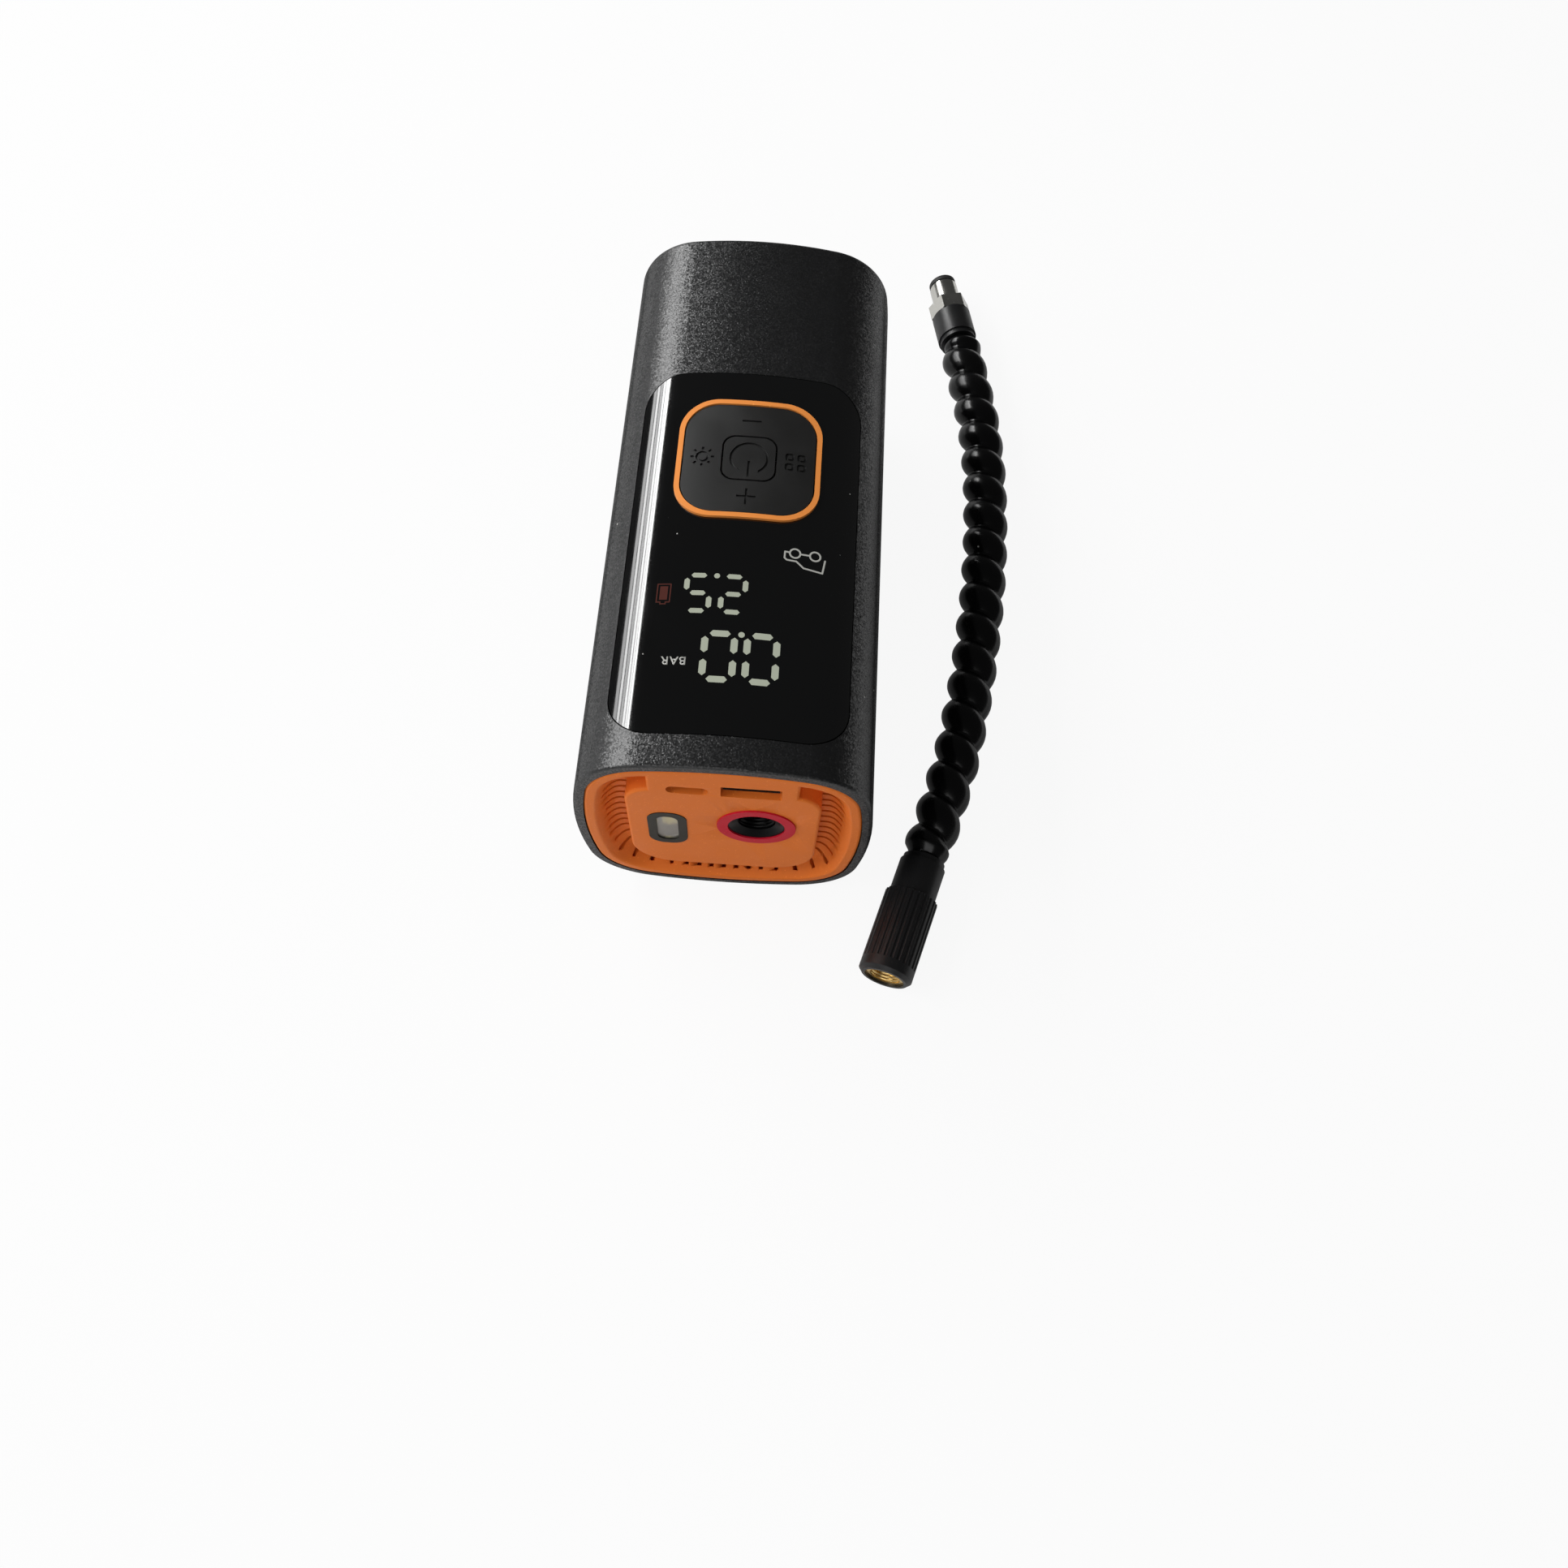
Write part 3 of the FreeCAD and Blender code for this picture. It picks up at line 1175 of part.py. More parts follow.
def make_parts():
    """Every sub-part under its node name."""
    return {
        "housing": make_housing(),
        "front_cap": make_front_cap(),
        "rear_cap": make_rear_cap(),
        "case_screws": make_case_screws(),
        "display_lens": make_display_lens(),
        "pad_ring": make_pad_ring(),
        "control_pad": make_control_pad(),
        "pad_gimbal": make_pad_gimbal(),
        "pad_base": make_pad_base(),
        "power_button": make_power_button(),
        "port_ring": make_port_ring(),
        "port_insert": make_port_insert(),
        "light_bezel": make_light_bezel(),
        "light_lens": make_light_lens(),
        "light_board": make_light_board(),
        "leds": make_leds(),
        "usb_a_shell": make_usb_shell(USB_A_X, USB_A_Z, USB_A_W, USB_A_H, 0.6, USB_A_L),
        "usb_c_shell": make_usb_shell(USB_C_X, USB_C_Z, USB_C_W, USB_C_H, 1.6, USB_C_L),
        "usb_tongues": make_usb_tongues(),
        "dc_socket": make_dc_socket(),
        "main_board": make_main_board(),
        "board_screws": make_board_screws(),
        "board_carrier": make_board_carrier(),
        "display_module": make_display_module(),
        "tact_switches": make_tact_switches(),
        "board_chips": make_board_chips(),
        "pressure_sensor": make_pressure_sensor(),
        "pump_frame": make_pump_frame(),
        "frame_mounts": make_frame_mounts(),
        "pump_screws": make_pump_screws(),
        "motor_can": make_motor_can(),
        "motor_magnets": make_motor_magnets(),
        "end_bell": make_end_bell(),
        "motor_shaft": make_motor_shaft(),
        "rotor": make_rotor(),
        "drive_pinion": make_drive_pinion(),
        "cooling_fan": make_cooling_fan(),
        "crank_bush": make_crank_bush(),
        "crank_shaft": make_crank_shaft(),
        "crank_gear": make_crank_gear(),
        "crank_pin": make_crank_pin(),
        "cylinder": make_cylinder(),
        "cylinder_head": make_cylinder_head(),
        "valve_ball": make_valve_ball(),
        "valve_spring": make_valve_spring(),
        "piston_rod": make_piston_rod(),
        "piston_seal": make_piston_seal(),
        "outlet_tube": make_outlet_tube(),
        "battery_cells": make_battery_cells(),
        "battery_holder": make_battery_holder(),
        "battery_board": make_battery_board(),
        "hose": make_hose(),
        "front_ferrule": make_ferrule(True),
        "rear_ferrule": make_ferrule(False),
        "chuck_sleeve": make_chuck_sleeve(),
        "chuck_insert": make_chuck_insert(),
        "chuck_seal": make_chuck_seal(),
        "valve_pin": make_valve_pin(),
        "hose_inlet": make_hose_inlet(),
        "inlet_seal": make_inlet_seal(),
    }


os.makedirs("parts", exist_ok=True)
for node, shape in make_parts().items():
    shape.exportStep("parts/" + node + ".step")
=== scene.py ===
# %% [markdown]
# # A pocket tyre inflator and its air hose
#
# The inflator is a black rounded box with an orange vented front. A strip of
# glossy black glass runs over its top and carries a lit display and a rocker
# pad in an orange frame. The air hose lies beside it, unscrewed. The packed
# CAD model is loaded first and stays where it is. It already has the right
# shapes, so most of the work here is finish: plastic grain, gloss, the lit
# segments and the soft corkscrew hose. Blender counts in metres, so sizes are
# written in millimetres and multiplied by MM.

# %% Load the frame
import json
import math

import bpy
from mathutils import Matrix, Vector


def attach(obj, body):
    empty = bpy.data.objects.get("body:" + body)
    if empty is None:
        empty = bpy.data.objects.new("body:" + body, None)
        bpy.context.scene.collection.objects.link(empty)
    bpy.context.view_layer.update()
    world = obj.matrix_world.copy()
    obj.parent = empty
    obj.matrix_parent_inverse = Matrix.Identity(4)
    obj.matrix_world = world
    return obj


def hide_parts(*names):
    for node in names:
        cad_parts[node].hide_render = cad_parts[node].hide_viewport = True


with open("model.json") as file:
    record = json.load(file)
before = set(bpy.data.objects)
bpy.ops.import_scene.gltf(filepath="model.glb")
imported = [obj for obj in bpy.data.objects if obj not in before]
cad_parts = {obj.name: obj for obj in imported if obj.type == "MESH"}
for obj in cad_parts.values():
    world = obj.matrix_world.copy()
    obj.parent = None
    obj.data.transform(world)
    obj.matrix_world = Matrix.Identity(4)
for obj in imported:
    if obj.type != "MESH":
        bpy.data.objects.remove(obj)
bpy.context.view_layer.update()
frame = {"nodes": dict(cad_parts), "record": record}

MM = 0.001
nodes = frame["nodes"]
scene = bpy.context.scene
scene.view_settings.view_transform = "Standard"

# %% [markdown]
# ## The camera
#
# The photograph looks down on the inflator from in front, about 65 degrees
# below the horizon, with the camera turned a little clockwise. A camera is
# easiest to set from three directions: where it looks, what is to its right
# and what is above it. These become the columns of its matrix.

# %% Camera
CAMERA_PLACE = Vector((9.62, -192.7, 314.2)) * MM
CAMERA_YAW = math.radians(1.81)
CAMERA_PITCH = math.radians(65.21)
CAMERA_ROLL = math.radians(5.57)
CAMERA_LENS = 29.31

level = Vector((math.cos(CAMERA_YAW), -math.sin(CAMERA_YAW), 0))
look = Vector((math.sin(CAMERA_YAW) * math.cos(CAMERA_PITCH),
               math.cos(CAMERA_YAW) * math.cos(CAMERA_PITCH), -math.sin(CAMERA_PITCH)))
lift = level.cross(look)
right = level * math.cos(CAMERA_ROLL) + lift * math.sin(CAMERA_ROLL)
up = lift * math.cos(CAMERA_ROLL) - level * math.sin(CAMERA_ROLL)

camera_data = bpy.data.cameras.new("photo_camera")
camera_data.lens = CAMERA_LENS
camera_data.clip_start = 0.01
camera = bpy.data.objects.new("photo_camera", camera_data)
scene.collection.objects.link(camera)
turn = Matrix((right, up, -look)).transposed().to_4x4()
camera.matrix_world = Matrix.Translation(CAMERA_PLACE) @ turn
scene.camera = camera
print("camera looks along", [round(part, 3) for part in look])

# %% [markdown]
# ## Helpers for nodes
#
# Each finish is built from shader nodes. Two small helpers keep that short:
# one adds a node and fills in its sockets, the other joins two sockets.
# Scale values are in waves per metre, because the pieces are in metres: 2000
# gives a grain of half a millimetre.

# %% Node helpers
def add_node(tree, kind, settings=None, **sockets):
    """Adds a node, sets its own settings, then its input sockets by name."""
    node = tree.nodes.new(kind)
    for name, value in (settings or {}).items():
        setattr(node, name, value)
    for name, value in sockets.items():
        node.inputs[name.replace("_", " ")].default_value = value
    return node


def join(tree, source, output, target, socket):
    """Joins an output of one node to an input of another."""
    tree.links.new(source.outputs[output], target.inputs[socket])


def new_group(name, inputs, outputs):
    """An empty node group with float inputs and outputs and their default values."""
    tree = bpy.data.node_groups.new(name, "ShaderNodeTree")
    tree.interface.new_socket("Place", in_out="INPUT", socket_type="NodeSocketVector")
    for label, value in inputs.items():
        made = tree.interface.new_socket(label, in_out="INPUT", socket_type="NodeSocketFloat")
        made.default_value = value
    for label in outputs:
        tree.interface.new_socket(label, in_out="OUTPUT", socket_type="NodeSocketFloat")
    return tree, tree.nodes.new("NodeGroupInput"), tree.nodes.new("NodeGroupOutput")


def ramp(tree, low, high):
    """A map from low..high to 0..1, held at its ends."""
    return add_node(tree, "ShaderNodeMapRange", {"clamp": True}, From_Min=low, From_Max=high)


print("node helpers:", [helper.__name__ for helper in (add_node, join, new_group, ramp)])

# %% [markdown]
# ## Moulded grain
#
# The case has the fine spark eroded texture of an injection mould: bumps of a
# few tenths of a millimetre, some of which catch the light as tiny sparks.
# One group gives the height of the grain, a mask of painted glints, where the base colour of
# single grains is lightened to stand in for grains that catch the light, and a slow change of
# tone that a real moulding always has.

# %% Group: moulded grain
PIT_DEPTH = 0.45
PAINTED_GLINT_RIM = 0.42
PAINTED_GLINT_CORE = 0.18

grain_group, entry, leave = new_group(
    "moulded_grain", {"Scale": 2400.0, "Spark": 0.62}, ["Height", "Painted Glints", "Tone"])

fine = add_node(grain_group, "ShaderNodeTexNoise", Detail=2.0, Roughness=0.6)
join(grain_group, entry, "Place", fine, "Vector")
join(grain_group, entry, "Scale", fine, "Scale")
pits = add_node(grain_group, "ShaderNodeTexVoronoi", {"feature": "F1"}, Randomness=1.0)
join(grain_group, entry, "Place", pits, "Vector")
join(grain_group, entry, "Scale", pits, "Scale")
height = add_node(grain_group, "ShaderNodeMath", {"operation": "MULTIPLY_ADD"})
join(grain_group, pits, "Distance", height, 0)
height.inputs[1].default_value = PIT_DEPTH
join(grain_group, fine, "Fac", height, 2)
join(grain_group, height, "Value", leave, "Height")

# Painted glints: a few random grains get a mask that lightens their base colour, a painted
# highlight for grains that would catch the light.
lit = add_node(grain_group, "ShaderNodeMath", {"operation": "GREATER_THAN"})
split = add_node(grain_group, "ShaderNodeSeparateColor")
join(grain_group, pits, "Color", split, "Color")
join(grain_group, split, "Red", lit, 0)
join(grain_group, entry, "Spark", lit, 1)
core = ramp(grain_group, PAINTED_GLINT_RIM, PAINTED_GLINT_CORE)
join(grain_group, pits, "Distance", core, "Value")
painted_glints = add_node(grain_group, "ShaderNodeMath", {"operation": "MULTIPLY"})
join(grain_group, lit, "Value", painted_glints, 0)
join(grain_group, core, "Result", painted_glints, 1)
join(grain_group, painted_glints, "Value", leave, "Painted Glints")

slow = add_node(grain_group, "ShaderNodeTexNoise", Scale=38.0, Detail=3.0, Roughness=0.55)
join(grain_group, entry, "Place", slow, "Vector")
join(grain_group, slow, "Fac", leave, "Tone")
print(grain_group.name, "has", len(grain_group.nodes), "nodes")

# %% [markdown]
# ## Dust and smudges
#
# A glossy surface that lies on a table is never clean. A few pale specks of
# dust and a faint change of gloss make it believable. A speck is the middle
# of a Voronoi cell, and only the few cells whose random value is high get one.

# %% Group: dust specks
dust_group, entry, leave = new_group(
    "dust_specks", {"Scale": 420.0, "Rare": 0.93, "Size": 0.11}, ["Specks", "Smudge"])

cells = add_node(dust_group, "ShaderNodeTexVoronoi", {"feature": "F1"}, Randomness=1.0)
join(dust_group, entry, "Place", cells, "Vector")
join(dust_group, entry, "Scale", cells, "Scale")
split = add_node(dust_group, "ShaderNodeSeparateColor")
join(dust_group, cells, "Color", split, "Color")
chosen = add_node(dust_group, "ShaderNodeMath", {"operation": "GREATER_THAN"})
join(dust_group, split, "Green", chosen, 0)
join(dust_group, entry, "Rare", chosen, 1)
near = add_node(dust_group, "ShaderNodeMath", {"operation": "LESS_THAN"})
join(dust_group, cells, "Distance", near, 0)
join(dust_group, entry, "Size", near, 1)
specks = add_node(dust_group, "ShaderNodeMath", {"operation": "MULTIPLY"})
join(dust_group, chosen, "Value", specks, 0)
join(dust_group, near, "Value", specks, 1)
join(dust_group, specks, "Value", leave, "Specks")

wipe = add_node(dust_group, "ShaderNodeTexNoise", Scale=55.0, Detail=4.0, Distortion=0.6)
join(dust_group, entry, "Place", wipe, "Vector")
smudge = ramp(dust_group, low=0.45, high=0.75)
join(dust_group, wipe, "Fac", smudge, "Value")
join(dust_group, smudge, "Result", leave, "Smudge")
print(dust_group.name, "has", len(dust_group.nodes), "nodes")

# %% [markdown]
# ## Helpers for colours
#
# Every material places the two groups by the piece's own coordinates and
# mixes colours over each other by a mask. A colour mix node has a fixed place
# for each of its sockets, which gets a name here.

# %% Colour helpers
MIX_MASK = 0
MIX_UNDER = 6
MIX_OVER = 7
MIX_COLOUR = 2


def shader_of(material):
    """The Principled shader of a material."""
    return material.node_tree.nodes["Principled BSDF"]


def place_group(tree, group, place, **values):
    """Puts a node group in a material and feeds it the piece's own coordinates."""
    node = tree.nodes.new("ShaderNodeGroup")
    node.node_tree = group
    join(tree, place, "Object", node, "Place")
    for name, value in values.items():
        node.inputs[name].default_value = value
    return node


def mixed(tree, mask, mask_out, under, over):
    """A colour mix driven by a mask; both colours are plain or come from another mix."""
    mix = tree.nodes.new("ShaderNodeMix")
    mix.data_type = "RGBA"
    join(tree, mask, mask_out, mix, MIX_MASK)
    for at, value in ((MIX_UNDER, under), (MIX_OVER, over)):
        if isinstance(value, tuple):
            mix.inputs[at].default_value = value + (1.0,)
        else:
            join(tree, value, MIX_COLOUR, mix, at)
    return mix


print("colour helpers:", [helper.__name__ for helper in (shader_of, place_group, mixed)])

# %% [markdown]
# ## Rough plastic up close
#
# On the grained case single grains catch the light, so each grain is tilted a
# little its own way. At a flat view the grains hide each other's gloss, so
# the strength of the reflection fades as the surface turns away from the eye.

# %% Rough plastic helpers
FLAKES_PER_GRAIN = 1.5
FADE_FROM = 0.42
FADE_TO = 0.78


def tilt_grains(tree, place, relief, scale, amount):
    """Tilts every grain a little its own way and gives the node of the new normal."""
    grains = add_node(tree, "ShaderNodeTexVoronoi", {"feature": "F1"}, Scale=scale)
    join(tree, place, "Object", grains, "Vector")
    tilts = add_node(tree, "ShaderNodeVectorMath", {"operation": "SUBTRACT"})
    join(tree, grains, "Color", tilts, 0)
    tilts.inputs[1].default_value = (0.5, 0.5, 0.5)
    tilted = add_node(tree, "ShaderNodeVectorMath", {"operation": "MULTIPLY_ADD"})
    join(tree, tilts, "Vector", tilted, 0)
    tilted.inputs[1].default_value = (amount, amount, amount)
    join(tree, relief, "Normal", tilted, 2)
    unit = add_node(tree, "ShaderNodeVectorMath", {"operation": "NORMALIZE"})
    join(tree, tilted, "Vector", unit, 0)
    return unit


def fade_gloss(tree, shader, level, graze):
    """Lowers the specular level to graze where the surface turns away from the eye."""
    turned = add_node(tree, "ShaderNodeLayerWeight", Blend=0.5)
    fading = add_node(tree, "ShaderNodeMapRange", From_Min=FADE_FROM, From_Max=FADE_TO,
                      To_Min=level, To_Max=graze)
    join(tree, turned, "Facing", fading, "Value")
    join(tree, fading, "Result", shader, "Specular IOR Level")


print("gloss fades from", FADE_FROM, "to", FADE_TO)

# %% [markdown]
# ## One recipe for the finishes
#
# Plastic, rubber and metal all follow the same plan: a base colour that drifts a little with
# the tone, painted glints and dust mixed over it, a roughness that the smudges raise, and a
# bump from the grain. The painted glints are a lighter base colour on single grains, a painted
# highlight for grains that catch the light. Each finish then differs only in its numbers. What
# is the same all over is set on the shader itself.

# %% Finish helper
COAT_ROUGHNESS = 0.06
DUST_COLOUR = (0.45, 0.45, 0.43)
PAINTED_GLINT_GAIN = 1.6
PAINTED_GLINT_LIFT = 0.01


def finish(name, colour, roughness, grain=2400.0, bump=0.25, depth=0.03, spark=0.9,
           painted_glint_colour=None, drift=0.25, dust=0.97, dust_scale=420.0, smudge=0.12,
           metallic=0.0, coat=0.0, specular=0.5, graze=None, flakes=0.0):
    """A material with grain, painted glints, dust and smudges; depth of the grain is in
    millimetres.

    Painted glints (a painted highlight on single grains) and dust get rarer as spark and dust
    rise to 1.
    Flakes is how far single grains are tilted, and graze is the specular level that is left at
    a flat view.
    """
    made = bpy.data.materials.new(name)
    made.use_nodes = True
    tree = made.node_tree
    shader = shader_of(made)
    shader.inputs["Metallic"].default_value = metallic
    shader.inputs["Specular IOR Level"].default_value = specular
    shader.inputs["Coat Weight"].default_value = coat
    shader.inputs["Coat Roughness"].default_value = COAT_ROUGHNESS
    place = tree.nodes.new("ShaderNodeTexCoord")
    texture = place_group(tree, grain_group, place, Scale=grain, Spark=spark)
    dirt = place_group(tree, dust_group, place, Scale=dust_scale, Rare=dust)

    darker = tuple(part * (1 - drift) for part in colour)
    lighter = tuple(min(1.0, part * (1 + drift)) for part in colour)
    # Painted highlight: a lighter base colour, mixed in where the grain mask marks painted
    # glints.
    painted_glint = painted_glint_colour or tuple(min(1.0, part * PAINTED_GLINT_GAIN + PAINTED_GLINT_LIFT) for part in colour)
    base = mixed(tree, texture, "Tone", darker, lighter)
    base = mixed(tree, texture, "Painted Glints", base, painted_glint)
    base = mixed(tree, dirt, "Specks", base, DUST_COLOUR)
    join(tree, base, MIX_COLOUR, shader, "Base Color")

    dull = add_node(tree, "ShaderNodeMapRange", To_Min=roughness,
                    To_Max=min(1.0, roughness + smudge))
    join(tree, dirt, "Smudge", dull, "Value")
    join(tree, dull, "Result", shader, "Roughness")
    relief = add_node(tree, "ShaderNodeBump", Strength=bump, Distance=depth * MM)
    join(tree, texture, "Height", relief, "Height")
    join(tree, relief, "Normal", shader, "Normal")
    if flakes:
        tilted = tilt_grains(tree, place, relief, grain * FLAKES_PER_GRAIN, flakes)
        join(tree, tilted, "Vector", shader, "Normal")
    if graze is not None:
        fade_gloss(tree, shader, specular, graze)
    return made


print("every finish draws on", grain_group.name, "and", dust_group.name)

# %% [markdown]
# ## The finishes by name
#
# The record names a material slot for every CAD node. The table below gives
# each slot its numbers, those of the hidden nodes too, so that nothing is
# bare when the case is taken off.

# %% Finishes
FINISHES = {
    # case_black: the lighter colour of single grains is a painted highlight, standing in for
    # grains that catch the window light.
    "case_black": dict(colour=(0.0036, 0.0038, 0.0041), roughness=0.34, grain=2100, bump=0.75,
                       depth=0.07, spark=0.9, painted_glint_colour=(0.02, 0.021, 0.022), dust=0.988,
                       specular=0.8, graze=0.02, flakes=0.26, smudge=0.04),
    "case_orange": dict(colour=(0.8, 0.19, 0.027), roughness=0.46, grain=2600, bump=0.4,
                        depth=0.05, spark=0.92, drift=0.05, dust=0.99, smudge=0.08,
                        specular=0.12),
    "ring_orange": dict(colour=(0.76, 0.26, 0.056), roughness=0.32, grain=1500, bump=0.08,
                        drift=0.05, spark=0.99, dust=0.99, specular=0.25),
    "black_glass": dict(colour=(0.0012, 0.0013, 0.0014), roughness=0.075, grain=900, bump=0.0,
                        spark=2.0, drift=0.1, dust=0.994, dust_scale=650, smudge=0.05,
                        coat=1.0),
    "soft_black": dict(colour=(0.0055, 0.0055, 0.0052), roughness=0.39, grain=5200, bump=0.2,
                       spark=0.97, dust=0.992, dust_scale=700, smudge=0.1, specular=0.8),
    "gimbal_plastic": dict(colour=(0.62, 0.61, 0.57), roughness=0.45, drift=0.05, bump=0.15),
    "port_red": dict(colour=(0.56, 0.011, 0.03), roughness=0.42, bump=0.08, drift=0.08,
                     spark=0.99, specular=0.1),
    "port_black": dict(colour=(0.0016, 0.0016, 0.0018), roughness=0.3, bump=0.03, spark=2.0,
                       smudge=0.06, specular=0.12),
    "bezel_grey": dict(colour=(0.03, 0.028, 0.022), roughness=0.42, bump=0.2, drift=0.1,
                       specular=0.1),
    "led_yellow": dict(colour=(0.83, 0.72, 0.28), roughness=0.35, grain=1800, bump=0.1,
                       drift=0.06),
    "board_green": dict(colour=(0.008, 0.075, 0.03), roughness=0.3, grain=1200, bump=0.1,
                        drift=0.2, spark=0.97),
    "display_grey": dict(colour=(0.4, 0.42, 0.36), roughness=0.4, bump=0.08, drift=0.06),
    "switch_metal": dict(colour=(0.62, 0.62, 0.6), roughness=0.3, bump=0.1, metallic=1.0,
                         drift=0.06),
    "chip_black": dict(colour=(0.012, 0.012, 0.012), roughness=0.5, grain=3600, bump=0.3),
    "steel": dict(colour=(0.56, 0.56, 0.57), roughness=0.28, grain=1900, bump=0.12,
                  metallic=1.0, drift=0.06, smudge=0.15),
    "aluminium": dict(colour=(0.68, 0.69, 0.7), roughness=0.42, grain=2800, bump=0.3,
                      metallic=1.0, drift=0.06, smudge=0.15),
    "brass": dict(colour=(0.78, 0.55, 0.22), roughness=0.22, grain=2200, bump=0.1,
                  metallic=1.0, drift=0.08, smudge=0.12),
    "gear_white": dict(colour=(0.78, 0.77, 0.71), roughness=0.42, bump=0.1, drift=0.04),
    "rubber_black": dict(colour=(0.012, 0.012, 0.012), roughness=0.62, grain=3600, bump=0.3),
    "silicone": dict(colour=(0.62, 0.62, 0.58), roughness=0.35, bump=0.06, drift=0.05),
    "cell_blue": dict(colour=(0.02, 0.09, 0.3), roughness=0.25, grain=700, bump=0.06,
                      drift=0.12, coat=0.3),
    "holder_black": dict(colour=(0.016, 0.016, 0.017), roughness=0.46, bump=0.25),
    "hose_black": dict(colour=(0.0018, 0.0018, 0.002), roughness=0.2, grain=1300, bump=0.06,
                       depth=0.05, spark=2.0, dust=0.985, smudge=0.12, specular=0.4),
    "fitting_black": dict(colour=(0.0085, 0.0085, 0.009), roughness=0.36, grain=2600,
                          bump=0.2, spark=0.96, dust=0.98, smudge=0.12),
    "nickel": dict(colour=(0.68, 0.67, 0.63), roughness=0.16, grain=1700, bump=0.06,
                   metallic=1.0, drift=0.05, smudge=0.1),
}
materials = {name: finish(name, **values) for name, values in FINISHES.items()}
print(len(materials), "finishes")

# %% [markdown]
# ## The window of the work light
#
# The light has a milky clear window with two yellow light emitting diodes behind it. A
# Principled shader with most of its weight in transmission and a high roughness looks milky and
# still lets the diodes show as soft spots. The diodes get a faint painted glow, an emission
# that stands in for the light that the milky window would scatter onto them.

# %% Light window
window = finish("light_window", colour=(0.84, 0.81, 0.72), roughness=0.16, grain=1500,
                bump=0.05, drift=0.03, spark=2.0)
milky = shader_of(window)
milky.inputs["Transmission Weight"].default_value = 0.86
milky.inputs["IOR"].default_value = 1.45
materials["light_window"] = window

# Painted light: a faint emission on the diodes stands in for the light the milky window
# scatters onto them.
diode = shader_of(materials["led_yellow"])
diode.inputs["Emission Color"].default_value = (0.83, 0.72, 0.3, 1)
diode.inputs["Emission Strength"].default_value = 0.3
print("light window and diodes are ready")

# %% [markdown]
# ## Finishes on the nodes
#
# The CAD nodes arrive bare. The record says which slot each of them has, so
# one loop can dress them all, also those that the case hides.

# %% Dress the nodes
for part in frame["record"]["subparts"]:
    shown = nodes[part["node"]]
    shown.data.materials.clear()
    shown.data.materials.append(materials[part["material_slot"]])

# %% [markdown]
# ## Helpers for meshes
#
# Operators act on whatever is selected and active, so a piece is always made
# the only selected one first. These helpers do that, open and close edit
# mode, merge doubled points, and join several pieces to one.

# %% Mesh helpers
def alone(piece):
    """Makes this piece the only selected one and the active one."""
    bpy.ops.object.select_all(action="DESELECT")
    piece.select_set(True)
    bpy.context.view_layer.objects.active = piece


def in_edit(piece, mode="FACE", select="DESELECT"):
    """Opens a piece in edit mode with nothing selected, or with all of it."""
    alone(piece)
    bpy.ops.object.mode_set(mode="EDIT")
    bpy.ops.mesh.select_mode(type=mode)
    bpy.ops.mesh.select_all(action=select)


def out_of_edit():
    """Closes edit mode."""
    bpy.ops.object.mode_set(mode="OBJECT")


def close_seam(piece, gap, inside):
    """Merges points that are closer than the gap and turns all faces in or out."""
    in_edit(piece, select="SELECT")
    bpy.ops.mesh.remove_doubles(threshold=gap)
    bpy.ops.mesh.normals_make_consistent(inside=inside)
    out_of_edit()


def merge(pieces, name):
    """Joins pieces to one with a name."""
    alone(pieces[0])
    for other in pieces[1:]:
        other.select_set(True)
    bpy.ops.object.join()
    pieces[0].name = name
    return pieces[0]


print("mesh helpers:", [helper.__name__ for helper in (alone, in_edit, close_seam, merge)])

# %% [markdown]
# ## Where the louvres are
#
# Seen from above, only the lower ends of the louvres under the raised island
# show, as a row of small dark openings. They stand square to the island's
# lower edge, at equal steps from its middle, out along the flat and round the
# corner on each side. Those past the last turn already belong to the side of
# the island and stay as they are.

# %% Louvre places
ISLAND_LOW_Z = 12.6
ISLAND_SIDE_X = 22.4
ISLAND_LOW_R = 11.0
LOUVRES_EACH_SIDE = 9
LAST_TURN = 1.25

low_flat = ISLAND_SIDE_X - ISLAND_LOW_R
louvre_step = (ISLAND_LOW_R * math.pi / 2 + low_flat) / LOUVRES_EACH_SIDE
louvre_spots = [(0.0, ISLAND_LOW_Z, -math.pi / 2)]
for i in range(1, LOUVRES_EACH_SIDE + 1):
    run = i * louvre_step
    turn = max(run - low_flat, 0) / ISLAND_LOW_R
    x = min(run, low_flat) + ISLAND_LOW_R * math.sin(turn)
    z = ISLAND_LOW_Z + ISLAND_LOW_R * (1 - math.cos(turn))
    if turn < LAST_TURN:
        louvre_spots += [(x, z, turn - math.pi / 2), (-x, z, -math.pi / 2 - turn)]
print(len(louvre_spots), "louvres, one every", round(louvre_step, 2), "mm")

# %% [markdown]
# ## Louvres under the island
#
# The front cap is copied for the look and its doubled points are merged. A
# thin bar for each louvre lengthens it, all of them with one Boolean
# modifier. A Weighted Normal modifier then lets the large flat faces decide
# the shading at their rounded edges.

# %% Louvred front
LOUVRE_W = 1.0
LOUVRE_FROM = 4
LOUVRE_REACH = 9.2
LOUVRE_Y = (-75.2, -69.0)
SAME_POINT = 0.0005 * MM
FRONT_SMOOTH = math.radians(35)


